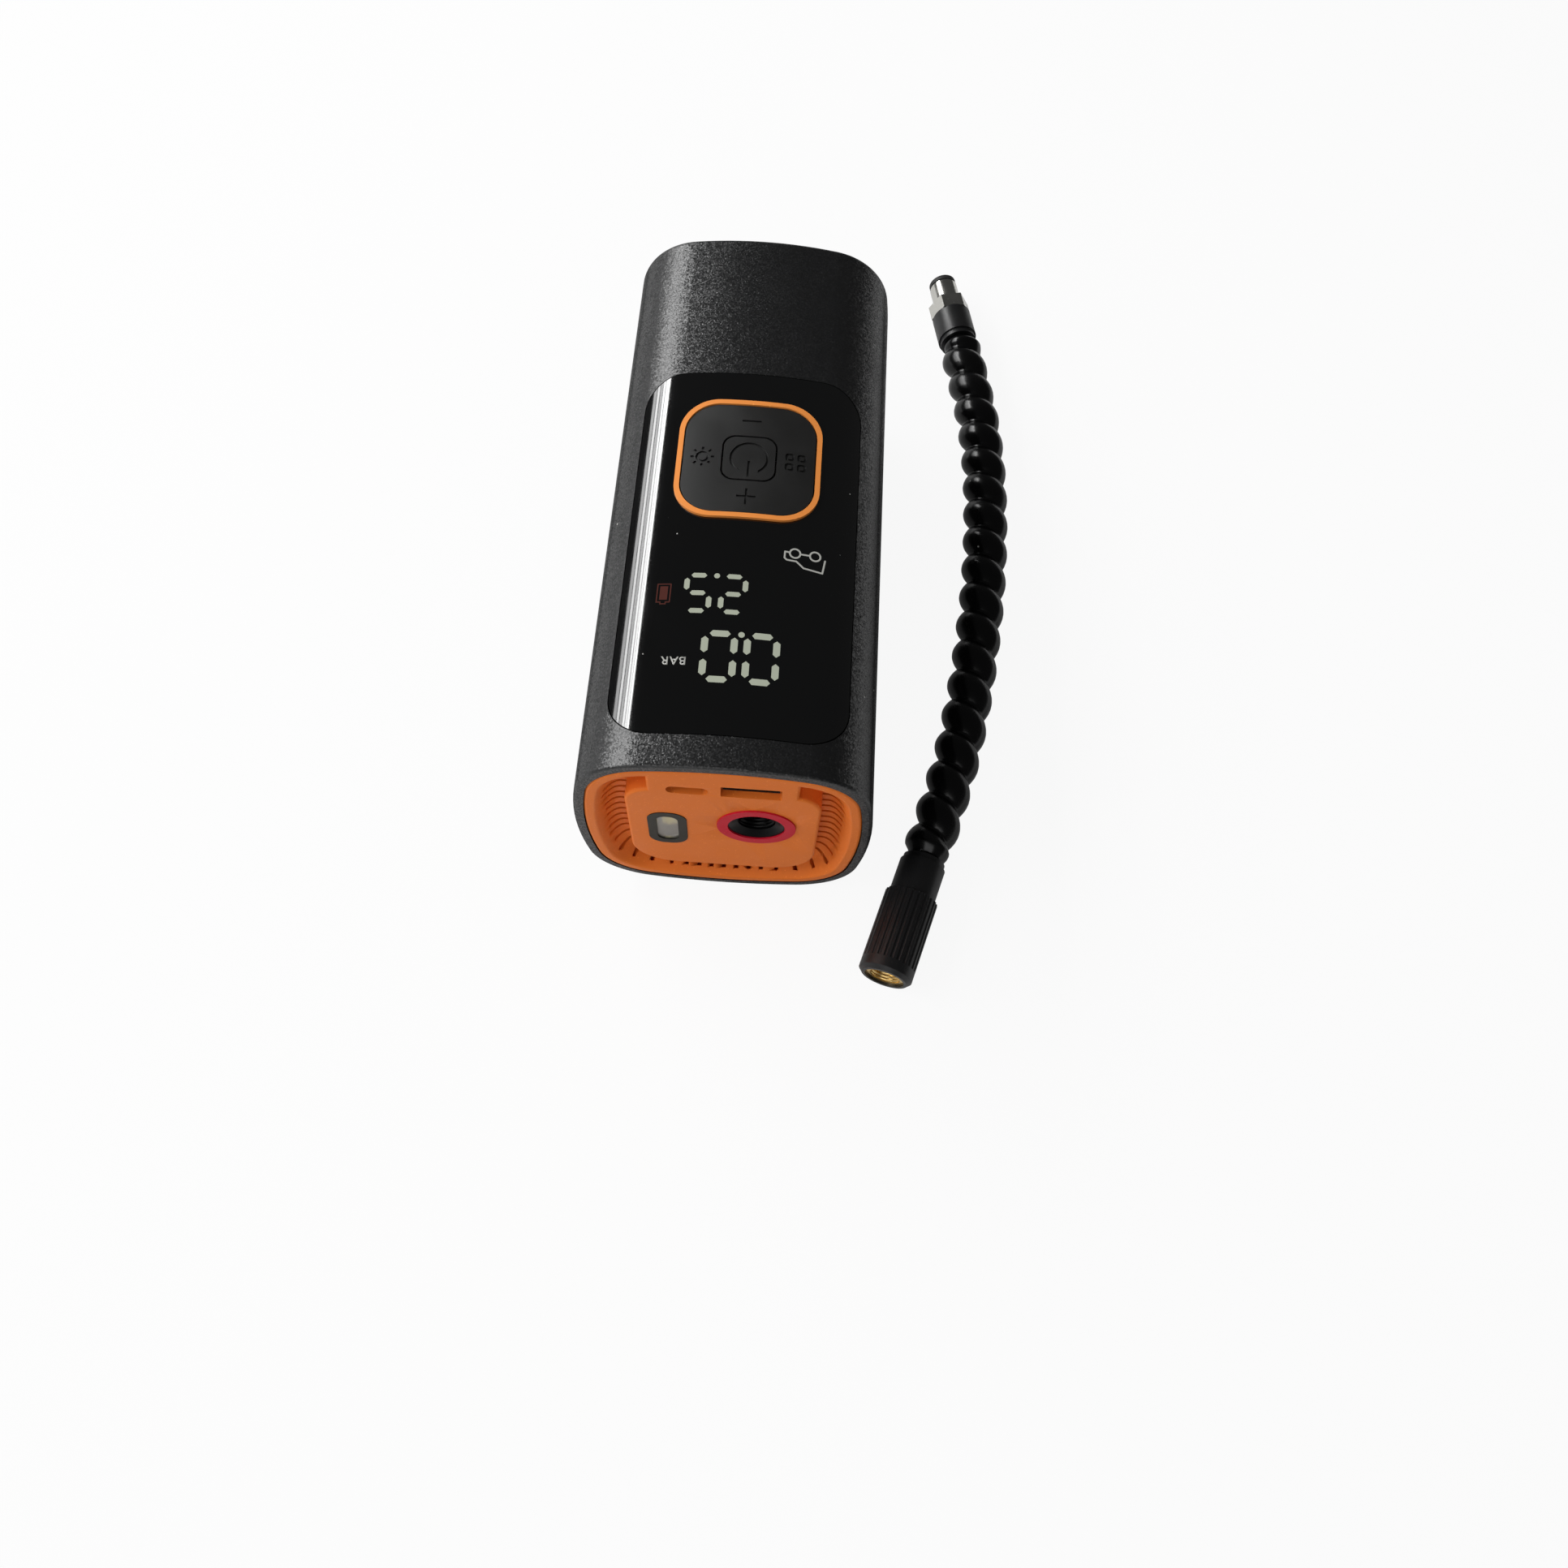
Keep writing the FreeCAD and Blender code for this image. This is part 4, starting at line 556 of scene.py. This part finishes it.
def louvre_bar(x, z, way):
    """A thin bar that stands out from the island's edge, to cut one louvre."""
    bpy.ops.object.select_all(action="DESELECT")
    bpy.ops.mesh.primitive_cube_add(size=1)
    rod = bpy.context.object
    size = Matrix.Diagonal(((LOUVRE_REACH - LOUVRE_FROM) * MM,
                            (LOUVRE_Y[1] - LOUVRE_Y[0]) * MM, LOUVRE_W * MM, 1))
    middle = Matrix.Translation(((LOUVRE_REACH + LOUVRE_FROM) / 2 * MM, 0, 0))
    spot = Matrix.Translation((x * MM, sum(LOUVRE_Y) / 2 * MM, z * MM))
    rod.data.transform(spot @ Matrix.Rotation(-way, 4, "Y") @ middle @ size)
    return rod


cutter = merge([louvre_bar(*spot) for spot in louvre_spots], "louvre_bars")
front = bpy.data.objects.new("louvred_front", nodes["front_cap"].data.copy())
front.data.transform(nodes["front_cap"].matrix_world)
scene.collection.objects.link(front)
in_edit(front, "VERT", select="SELECT")
bpy.ops.mesh.remove_doubles(threshold=SAME_POINT)
out_of_edit()
cut = front.modifiers.new("louvres", "BOOLEAN")
cut.operation = "DIFFERENCE"
cut.solver = "EXACT"
cut.object = cutter
bpy.ops.object.modifier_apply(modifier=cut.name)
bpy.data.objects.remove(cutter)
bpy.ops.object.shade_smooth_by_angle(angle=FRONT_SMOOTH)
even_out = front.modifiers.new("even_out", "WEIGHTED_NORMAL")
even_out.keep_sharp = True
even_out.weight = 100
bpy.ops.object.modifier_apply(modifier=even_out.name)
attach(front, "body")
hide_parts("front_cap")
print("louvred front:", len(louvre_spots), "longer louvres,", len(front.data.polygons), "faces")

# %% [markdown]
# ## The hose's route
#
# The hose is a soft tube with a fixed length, lying on the table beside the
# inflator. Its route is the same list of points that the CAD part uses. A
# NURBS spline through them as control points gives one smooth line, and the
# order is set last, because Blender only accepts it once the points exist.

# %% Hose route
HOSE_Z = 6.9
HOSE_ROUTE = [(51.6, -70.0), (58.4, -47.5), (62.8, -25.8), (65.8, -4.2), (67.9, 17.8),
              (68.7, 39.8), (68.2, 61.8), (65.6, 83.6), (60.6, 107.0)]

route_data = bpy.data.curves.new("hose_route", "CURVE")
route_data.dimensions = "3D"
route_data.resolution_u = 40
spline = route_data.splines.new("NURBS")
spline.points.add(len(HOSE_ROUTE) - 1)
for point, (x, y) in zip(spline.points, HOSE_ROUTE):
    point.co = (x * MM, y * MM, HOSE_Z * MM, 1)
spline.order_u = 3
spline.use_endpoint_u = True
route_object = bpy.data.objects.new("hose_route", route_data)
scene.collection.objects.link(route_object)
bpy.context.view_layer.update()
route_mesh = bpy.data.meshes.new_from_object(route_object)
route = [vertex.co.copy() for vertex in route_mesh.vertices]
bpy.data.objects.remove(route_object)
reach = [0.0]
for before, after in zip(route, route[1:]):
    reach.append(reach[-1] + (after - before).length)
hose_length = reach[-1]
print("hose length in mm:", round(hose_length / MM, 1))

# %% [markdown]
# ## A place along the hose
#
# The skin of the hose is laid round its route, ring by ring. Each ring needs
# the point at its distance from the front end and the direction there, which
# is taken over a few points of the route, so that it turns smoothly.

# %% Route helper
def along_route(distance):
    """Point and direction on the hose's route at a distance from its front end."""
    for i in range(1, len(reach)):
        if distance <= reach[i] or i == len(reach) - 1:
            share = (distance - reach[i - 1]) / (reach[i] - reach[i - 1])
            point = route[i - 1].lerp(route[i], share)
            before = route[max(i - 2, 0)]
            after = route[min(i + 1, len(route) - 1)]
            return point, (after - before).normalized()


hose_front, hose_ahead = along_route(0.0)
print("hose starts at", [round(part / MM, 1) for part in hose_front], "mm")

# %% [markdown]
# ## The corkscrew hose
#
# The real hose has one rounded rib that runs round it like the thread of a
# screw. A flat grid is a good start: one side of the grid goes round the hose
# and the other along it. Every point is then laid on the tube, at a radius
# that rises and falls with a single turning wave, so the rib needs no
# separate piece and the mesh stays one clean skin. Half a cosine wave without
# its sign gives round ribs with a sharp valley between them.

# %% Hose skin
HOSE_VALLEY = 4.3 * MM
HOSE_CREST = 6.5 * MM
RIB_PITCH = 9.8 * MM
RIB_FULLNESS = 0.8
PLAIN_END = 3.2 * MM
ROUND_STEPS = 40
RIB_STEPS = 24

bpy.ops.object.select_all(action="DESELECT")
steps = round(hose_length / RIB_PITCH * RIB_STEPS)
bpy.ops.mesh.primitive_grid_add(x_subdivisions=ROUND_STEPS, y_subdivisions=steps, size=2)
hose = bpy.context.object
hose.name = "air_hose"
for vertex in hose.data.vertices:
    angle = math.pi * (vertex.co.x + 1)
    distance = hose_length * (vertex.co.y + 1) / 2
    centre, ahead = along_route(distance)
    side = ahead.cross(Vector((0, 0, 1))).normalized()
    above = side.cross(ahead)
    wave = abs(math.cos((math.tau * distance / RIB_PITCH - angle) / 2))
    fade = min(1.0, distance / PLAIN_END, (hose_length - distance) / PLAIN_END)
    radius = HOSE_VALLEY + (HOSE_CREST - HOSE_VALLEY) * fade * wave ** RIB_FULLNESS
    vertex.co = centre + (side * math.cos(angle) + above * math.sin(angle)) * radius
close_seam(hose, gap=0.01 * MM, inside=False)
bpy.ops.object.shade_smooth()
hose.data.materials.append(materials["hose_black"])
print("hose skin:", len(hose.data.polygons), "faces,", steps, "rings")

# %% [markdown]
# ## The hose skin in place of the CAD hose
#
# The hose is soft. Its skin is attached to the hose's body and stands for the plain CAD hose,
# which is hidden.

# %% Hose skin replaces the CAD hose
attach(hose, "hose")
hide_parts("hose")

# %% [markdown]
# ## Threads
#
# The brass mouth of the chuck and the air port have an inner thread. It is a
# short sleeve of the same kind: a grid rolled up inside the bore, with a
# radius that follows the turning thread and runs out over half a turn at both
# ends.

# %% Thread helper
THREAD_ROUND_STEPS = 36
THREAD_TURN_STEPS = 10
THREAD_SMOOTH = math.radians(40)


def inner_thread(name, base, out, radius, crest, pitch, turns):
    """A thread skin inside a bore; base is the deep end and out points to its mouth."""
    bpy.ops.object.select_all(action="DESELECT")
    bpy.ops.mesh.primitive_grid_add(x_subdivisions=THREAD_ROUND_STEPS,
                                    y_subdivisions=turns * THREAD_TURN_STEPS, size=2)
    piece = bpy.context.object
    piece.name = name
    side = out.cross(Vector((0, 0, 1))).normalized()
    above = side.cross(out)
    for vertex in piece.data.vertices:
        angle = math.pi * (vertex.co.x + 1)
        run = turns * (vertex.co.y + 1) / 2
        wave = abs((run - angle / math.tau) % 1.0 - 0.5) * 2
        reach_in = min(1.0, 2 * run, 2 * (turns - run))
        at = radius - (radius - crest) * wave * reach_in
        vertex.co = base + out * run * pitch + (side * math.cos(angle)
                                                + above * math.sin(angle)) * at
    close_seam(piece, gap=0.001 * MM, inside=True)
    bpy.ops.object.shade_smooth_by_angle(angle=THREAD_SMOOTH)
    print(name, "has", len(piece.data.polygons), "faces")
    return piece


print("a thread has", THREAD_ROUND_STEPS, "steps round")

# %% [markdown]
# ## Thread in the chuck
#
# The chuck's mouth lies ahead of the hose, in line with its front end, and
# its thread is what grips a valve.

# %% Chuck thread
CHUCK_AHEAD = 32.6
CHUCK_DEPTH = 7.2

mouth = hose_front - hose_ahead * CHUCK_AHEAD * MM
chuck_thread = inner_thread("chuck_thread", mouth + hose_ahead * CHUCK_DEPTH * MM, -hose_ahead,
                            radius=3.93 * MM, crest=3.55 * MM, pitch=0.8 * MM, turns=9)
chuck_thread.data.materials.append(materials["brass"])
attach(chuck_thread, "chuck")

# %% [markdown]
# ## Thread in the air port
#
# The same helper lines the air port, which faces the front. The far end of
# the hose screws into it.

# %% Port thread
PORT_BASE = Vector((7.8, -68.2, 39.0)) * MM
TO_FRONT = Vector((0, -1, 0))

port_thread = inner_thread("port_thread", PORT_BASE, TO_FRONT,
                           radius=4.38 * MM, crest=3.95 * MM, pitch=0.9 * MM, turns=8)
port_thread.data.materials.append(materials["port_black"])
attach(port_thread, "body")

# %% [markdown]
# ## Flat marks for the display
#
# The display shines through the dark glass, and is read from the rear end of
# the inflator. Its lit parts are modelled as very thin pieces that lie on the
# glass. All of them are drawn flat above it first, from three shapes: a bar
# with pointed ends for the segments, a stroke with round ends, and a ring.

# %% Drawing helpers
DRAW_Z = 80 * MM
STROKE_SIDES = 16
RING_SIDES = 32


def place_flat(piece, centre, angle):
    """Moves a flat piece to its place over the glass, with the place in its mesh."""
    shift = Matrix.Translation((centre[0] * MM, centre[1] * MM, DRAW_Z))
    piece.data.transform(shift @ Matrix.Rotation(angle, 4, "Z") @ piece.matrix_world)
    piece.matrix_world = Matrix.Identity(4)


def bar(length, width, point):
    """A flat bar along X with pointed ends, drawn round the origin."""
    bpy.ops.object.select_all(action="DESELECT")
    bpy.ops.mesh.primitive_circle_add(vertices=8, radius=width / 2, fill_type="NGON")
    piece = bpy.context.object
    on_axis = width * 0.01
    for vertex in piece.data.vertices:
        toward = 1 if vertex.co.x > 0 else -1
        if abs(vertex.co.y) < on_axis:
            vertex.co.x = toward * length / 2
        elif abs(vertex.co.x) < on_axis:
            vertex.co.x = 0
        else:
            vertex.co.x = toward * (length / 2 - point)
            vertex.co.y = math.copysign(width / 2, vertex.co.y)
    return piece


def stroke(start, end, width):
    """A flat line with round ends between two points given in millimetres."""
    bpy.ops.object.select_all(action="DESELECT")
    bpy.ops.mesh.primitive_circle_add(vertices=STROKE_SIDES, radius=width / 2, fill_type="NGON",
                                      rotation=(0, 0, math.pi / STROKE_SIDES))
    piece = bpy.context.object
    bpy.ops.object.transform_apply(rotation=True)
    run = Vector((end[0] - start[0], end[1] - start[1])) * MM
    for vertex in piece.data.vertices:
        if vertex.co.x > 0:
            vertex.co.x += run.length
    place_flat(piece, start, math.atan2(run.y, run.x))
    return piece


def ring(centre, radius, width):
    """A flat ring about a point given in millimetres."""
    bpy.ops.object.select_all(action="DESELECT")
    bpy.ops.mesh.primitive_circle_add(vertices=RING_SIDES, radius=radius + width / 2)
    piece = bpy.context.object
    in_edit(piece, "EDGE", select="SELECT")
    bpy.ops.mesh.extrude_region()
    inner = (radius - width / 2) / (radius + width / 2)
    bpy.ops.transform.resize(value=(inner, inner, 1))
    out_of_edit()
    place_flat(piece, centre, 0)
    return piece


print("marks are drawn at a height of", round(DRAW_Z / MM), "mm")

# %% [markdown]
# ## Pressed onto the glass
#
# The glass is curved, so a flat drawing is cut into narrow strips first and
# then pressed down onto it with a Shrinkwrap modifier. Solidify gives it a
# little thickness, half of it above the glass and half below.

# %% Press helper
STRIP_W = 0.8 * MM
INK_THICK = 0.06 * MM


def press_on_glass(piece, material):
    """Cuts a flat drawing into strips, lays it on the glass and gives it thickness."""
    in_edit(piece)
    low = min(v.co.x for v in piece.data.vertices)
    high = max(v.co.x for v in piece.data.vertices)
    count = int((high - low) / STRIP_W)
    for i in range(1, count):
        bpy.ops.mesh.select_all(action="SELECT")
        bpy.ops.mesh.bisect(plane_co=(low + i * (high - low) / count, 0, 0),
                            plane_no=(1, 0, 0))
    bpy.ops.mesh.select_all(action="SELECT")
    bpy.ops.mesh.quads_convert_to_tris()
    bpy.ops.mesh.normals_make_consistent(inside=False)
    out_of_edit()
    if sum(face.normal.z for face in piece.data.polygons) < 0:
        piece.data.flip_normals()
    press = piece.modifiers.new("press", "SHRINKWRAP")
    press.target = nodes["display_lens"]
    press.wrap_method = "PROJECT"
    press.use_project_z = True
    press.use_negative_direction = True
    press.use_positive_direction = False
    bpy.ops.object.modifier_apply(modifier=press.name)
    thick = piece.modifiers.new("thick", "SOLIDIFY")
    thick.thickness = INK_THICK
    thick.offset = 0
    bpy.ops.object.modifier_apply(modifier=thick.name)
    piece.data.materials.append(material)
    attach(piece, "body")
    top = max(v.co.z for v in piece.data.vertices)
    print(piece.name, "reaches", round(top / MM, 2), "mm high")


print("a mark is", round(INK_THICK / MM, 2), "mm thick")

# %% [markdown]
# ## Light for the display
#
# A lit segment is a pale greenish white that barely glows in daylight. Its
# colour comes mostly from a little emission, with a gloss on top like the
# glass round it, so the same reflections run over both.

# %% Display finishes
UNLIT_SHARE = 0.35
DIM_SHARE = 0.82


def glow(name, colour, strength):
    """A lit mark behind glass: glossy, slightly uneven and gently glowing."""
    made = finish(name, tuple(part * UNLIT_SHARE for part in colour), roughness=0.08,
                  grain=600, bump=0.0, spark=2.0, drift=0.08, dust=0.985, smudge=0.06)
    tree = made.node_tree
    shader = shader_of(made)
    tone = add_node(tree, "ShaderNodeTexNoise", Scale=350.0, Detail=2.0)
    place = next(node for node in tree.nodes if node.type == "TEX_COORD")
    join(tree, place, "Object", tone, "Vector")
    light = mixed(tree, tone, "Fac", tuple(part * DIM_SHARE for part in colour), colour)
    join(tree, light, MIX_COLOUR, shader, "Emission Color")
    shader.inputs["Emission Strength"].default_value = strength
    return made


segment_light = glow("segment_light", (0.42, 0.45, 0.36), 0.6)
legend_light = glow("legend_light", (0.42, 0.42, 0.39), 0.55)
battery_light = glow("battery_light", (0.09, 0.028, 0.022), 0.55)
print("display finishes:", segment_light.name, legend_light.name, battery_light.name)

# %% [markdown]
# ## The digits
#
# Two numbers are lit: a large zero with one decimal and a smaller preset. A
# digit has seven segments: bars across at its far, middle and near edge, and
# uprights at its four corners. A small table says which are lit. The far edge
# is the one towards the rear end of the inflator.

# %% Digit helpers
SEGMENT_POINT = 0.42
DIGIT_SEGMENTS = {
    "far": (0, 1, True), "middle": (0, 0, True), "near": (0, -1, True),
    "left_far": (-1, 0.5, False), "right_far": (1, 0.5, False),
    "left_near": (-1, -0.5, False), "right_near": (1, -0.5, False),
}
ZERO = ("far", "near", "left_far", "right_far", "left_near", "right_near")
FIVE_SEEN = ("far", "left_far", "middle", "right_near", "near")
TWO_SEEN = ("far", "right_far", "middle", "left_near", "near")


def digit(centre, lit, half_width, half_height, across, upright, width):
    """The lit segments of one digit, sizes in millimetres."""
    made = []
    for name in lit:
        x, y, flat = DIGIT_SEGMENTS[name]
        length = across if flat else upright
        piece = bar(length * MM, width * MM, SEGMENT_POINT * width * MM)
        place = (centre[0] + x * half_width, centre[1] + y * half_height)
        place_flat(piece, place, 0 if flat else math.pi / 2)
        made.append(piece)
    return made


def dot(centre, diameter):
    """A round decimal point, sizes in millimetres."""
    bpy.ops.object.select_all(action="DESELECT")
    bpy.ops.mesh.primitive_circle_add(vertices=20, radius=diameter / 2 * MM, fill_type="NGON")
    piece = bpy.context.object
    place_flat(piece, centre, 0)
    return piece


print("a digit has", len(DIGIT_SEGMENTS), "segments")

# %% [markdown]
# ## The two numbers
#
# Each number has its own size of digit. All the segments of a number are one
# piece, because they light up as one.

# %% Numbers
BIG_DIGIT = dict(half_width=3.3, half_height=5.85, across=4.7, upright=4.2, width=1.6)
BIG_PLACES = [(-3.1, -49.5), (6.4, -49.5)]
BIG_POINT = (1.65, -43.65)
SMALL_DIGIT = dict(half_width=2.65, half_height=4.74, across=3.6, upright=3.2, width=1.25)
FIVE_PLACE = (-9.05, -33.15)
TWO_PLACE = (-1.0, -33.15)
SMALL_POINT = (-5.0, -28.4)

big = [piece for centre in BIG_PLACES for piece in digit(centre, ZERO, **BIG_DIGIT)]
big.append(dot(BIG_POINT, diameter=1.45))
small = digit(FIVE_PLACE, FIVE_SEEN, **SMALL_DIGIT)
small += digit(TWO_PLACE, TWO_SEEN, **SMALL_DIGIT)
small.append(dot(SMALL_POINT, diameter=1.35))
press_on_glass(merge(big, "pressure_digits"), segment_light)
press_on_glass(merge(small, "preset_digits"), segment_light)

# %% [markdown]
# ## The unit
#
# The unit is set as plain text, turned to be read from the rear, and turned
# to a mesh before it is placed.

# %% Unit
UNIT_PLACE = (-12.9, -50.9)

bpy.ops.object.select_all(action="DESELECT")
bpy.ops.object.text_add(rotation=(0, 0, math.pi))
unit_text = bpy.context.object
unit_text.data.body = "BAR"
unit_text.data.align_x = "CENTER"
unit_text.data.align_y = "CENTER"
unit_text.data.size = 2.9 * MM
unit_text.data.offset = 0.03 * MM
unit_text.data.space_character = 1.12
bpy.ops.object.convert(target="MESH")
unit_text = bpy.context.object
place_flat(unit_text, UNIT_PLACE, 0)
unit_text.name = "unit_legend"
press_on_glass(unit_text, legend_light)

# %% [markdown]
# ## The car
#
# The car stands for the tyre that is being filled. It is drawn with round
# ended strokes for the body and the sill, and two rings for the wheels.

# %% Car icon
CAR_LINE = 0.42 * MM
CAR_OUTLINE = [(11.0, -20.25), (10.1, -20.15), (10.05, -21.9), (10.6, -22.4), (12.85, -22.55),
               (14.6, -24.15), (19.0, -24.8), (19.5, -21.3)]
CAR_SILL = [(13.7, -20.43), (15.9, -20.47)]
CAR_WHEELS = [(12.45, -20.4), (17.15, -20.5)]
CAR_WHEEL_R = 1.22 * MM

car = [stroke(start, end, CAR_LINE) for start, end in zip(CAR_OUTLINE, CAR_OUTLINE[1:])]
car.append(stroke(*CAR_SILL, CAR_LINE))
car += [ring(centre, CAR_WHEEL_R, CAR_LINE) for centre in CAR_WHEELS]
press_on_glass(merge(car, "car_icon"), legend_light)

# %% [markdown]
# ## The battery
#
# The battery is a closed line of strokes that steps in for its small tip,
# round a block of charge.

# %% Battery icon
BATTERY_LINE = 0.28 * MM
BATTERY_FRAME = [(-18.3, -30.9), (-15.3, -30.9), (-15.3, -35.7), (-16.2, -35.7),
                 (-16.2, -36.2), (-17.4, -36.2), (-17.4, -35.7), (-18.3, -35.7), (-18.3, -30.9)]
CHARGE_SIZE = (1.8, 3.6)
CHARGE_PLACE = (-16.8, -33.3)

battery = [stroke(start, end, BATTERY_LINE)
           for start, end in zip(BATTERY_FRAME, BATTERY_FRAME[1:])]
bpy.ops.object.select_all(action="DESELECT")
bpy.ops.mesh.primitive_plane_add(size=1)
charge = bpy.context.object
charge.data.transform(Matrix.Diagonal((CHARGE_SIZE[0] * MM, CHARGE_SIZE[1] * MM, 1, 1)))
place_flat(charge, CHARGE_PLACE, 0)
battery.append(charge)
press_on_glass(merge(battery, "battery_icon"), battery_light)

# %% [markdown]
# ## Which rays see white
#
# The object lies on plain white, which the camera should see in full, and
# mirrors and glass only in part. The Light Path node tells what kind of ray
# arrives, as 0 or 1, and these helpers turn that into a share.

# %% Ray helpers
def larger(tree, first, first_out, second, second_out):
    """The larger of two values."""
    made = add_node(tree, "ShaderNodeMath", {"operation": "MAXIMUM"})
    join(tree, first, first_out, made, 0)
    join(tree, second, second_out, made, 1)
    return made


def scaled(tree, source, output, factor):
    """A value times a factor."""
    made = add_node(tree, "ShaderNodeMath", {"operation": "MULTIPLY"})
    join(tree, source, output, made, 0)
    made.inputs[1].default_value = factor
    return made


def mirror_rays(tree, rays):
    """1 for rays from mirrors or glass, 0 for the others."""
    return larger(tree, rays, "Is Glossy Ray", rays, "Is Transmission Ray")


print("ray helpers:", [helper.__name__ for helper in (larger, scaled, mirror_rays)])

# %% [markdown]
# ## Floor and backdrop
#
# The floor is an ordinary pale surface for the light that bounces, so it
# keeps the object's shadow, but to the camera most of it is lifted to white,
# and a smaller share of it to reflections, where the object's own dark
# neighbourhood has to stay visible.

# %% Floor
FLOOR_SIZE = 6.0
FLOOR_GREY = 0.7
WHITE_SHARE = 0.92
MIRROR_SHARE = 0.1

bpy.ops.object.select_all(action="DESELECT")
bpy.ops.mesh.primitive_plane_add(size=FLOOR_SIZE)
floor = bpy.context.object
floor.name = "floor"
floor_paint = bpy.data.materials.new("floor_paint")
floor_paint.use_nodes = True
tree = floor_paint.node_tree
shader = shader_of(floor_paint)
shader.inputs["Base Color"].default_value = (FLOOR_GREY, FLOOR_GREY, FLOOR_GREY, 1)
shader.inputs["Roughness"].default_value = 0.9
rays = tree.nodes.new("ShaderNodeLightPath")
weak = scaled(tree, mirror_rays(tree, rays), "Value", MIRROR_SHARE)
strong = scaled(tree, rays, "Is Camera Ray", WHITE_SHARE)
share = larger(tree, weak, "Value", strong, "Value")
white = add_node(tree, "ShaderNodeEmission", Color=(1, 1, 1, 1), Strength=1.0)
blend = tree.nodes.new("ShaderNodeMixShader")
join(tree, share, "Value", blend, "Fac")
join(tree, shader, "BSDF", blend, 1)
join(tree, white, "Emission", blend, 2)
join(tree, blend, "Shader", tree.nodes["Material Output"], "Surface")
floor.data.materials.append(floor_paint)
print("floor is", FLOOR_SIZE, "m wide")

# %% [markdown]
# ## The world
#
# The world is white to the camera as well. It lights the object evenly at a
# plain level, and shows mirrors a room: a pale horizon that gives way to a dim
# ceiling a little above it.

# %% World
HORIZON = 0.22
CEILING = 0.055
AMBIENT = 0.22

world = bpy.data.worlds.new("studio")
scene.world = world
world.use_nodes = True
tree = world.node_tree
background = tree.nodes["Background"]
background.inputs["Strength"].default_value = 1.0
rays = tree.nodes.new("ShaderNodeLightPath")
place = tree.nodes.new("ShaderNodeTexCoord")
split = tree.nodes.new("ShaderNodeSeparateXYZ")
join(tree, place, "Generated", split, "Vector")
overhead = ramp(tree, low=-0.02, high=0.08)
join(tree, split, "Z", overhead, "Value")
room = mixed(tree, overhead, "Result", (HORIZON,) * 3, (CEILING,) * 3)
even = mixed(tree, mirror_rays(tree, rays), "Value", (AMBIENT,) * 3, room)
sky = mixed(tree, rays, "Is Camera Ray", even, (1.0, 1.0, 1.0))
join(tree, sky, MIX_COLOUR, background, "Color")
print("world ambient level", AMBIENT)

# %% [markdown]
# ## Soft light
#
# Daylight falls in from the left through a window with a slatted blind. It is
# six long low softboxes above each other. The grained case mixes them to one
# sheen, and the glossy shoulder of the glass mirrors each as a bright streak.
# A soft fill from the front lights the orange end.

# %% Softbox helper
def softbox(name, place, target, width, height, power):
    """A rectangular area light that faces a target; sizes in millimetres, power in watts."""
    data = bpy.data.lights.new(name, "AREA")
    data.shape = "RECTANGLE"
    data.size = width * MM
    data.size_y = height * MM
    data.energy = power
    lamp = bpy.data.objects.new(name, data)
    scene.collection.objects.link(lamp)
    lamp.location = Vector(place) * MM
    toward = (Vector(target) - Vector(place)).normalized()
    lamp.rotation_euler = toward.to_track_quat("-Z", "Y").to_euler()
    print(name, "at", place, "mm with", power, "W")


# %% [markdown]
# ## The window and the fill
#
# Each slat has the height of its middle above the table, its own height and
# its power. The streaks in the glass differ in width and strength, and so do
# the slats.

# %% Lamps
WINDOW_X = -600
WINDOW_Y = 460
WINDOW_L = 1740
SLATS = [(688, 58, 5.2), (616, 62, 3.7), (540, 56, 3.4), (468, 58, 1.5), (394, 54, 2.3),
         (318, 66, 1.3)]
FILL_PLACE = (-220, -860, 520)
FILL_TARGET = (0, -60, 20)

for i, (z, height, power) in enumerate(SLATS):
    softbox("window_slat_%d" % (i + 1), (WINDOW_X, WINDOW_Y, z), (0, WINDOW_Y, z),
            WINDOW_L, height, power)
softbox("front_fill", FILL_PLACE, FILL_TARGET, width=700, height=450, power=1.6)

# %% [markdown]
#
# At the end nothing is left selected.

# %% Finish
bpy.ops.object.select_all(action="DESELECT")
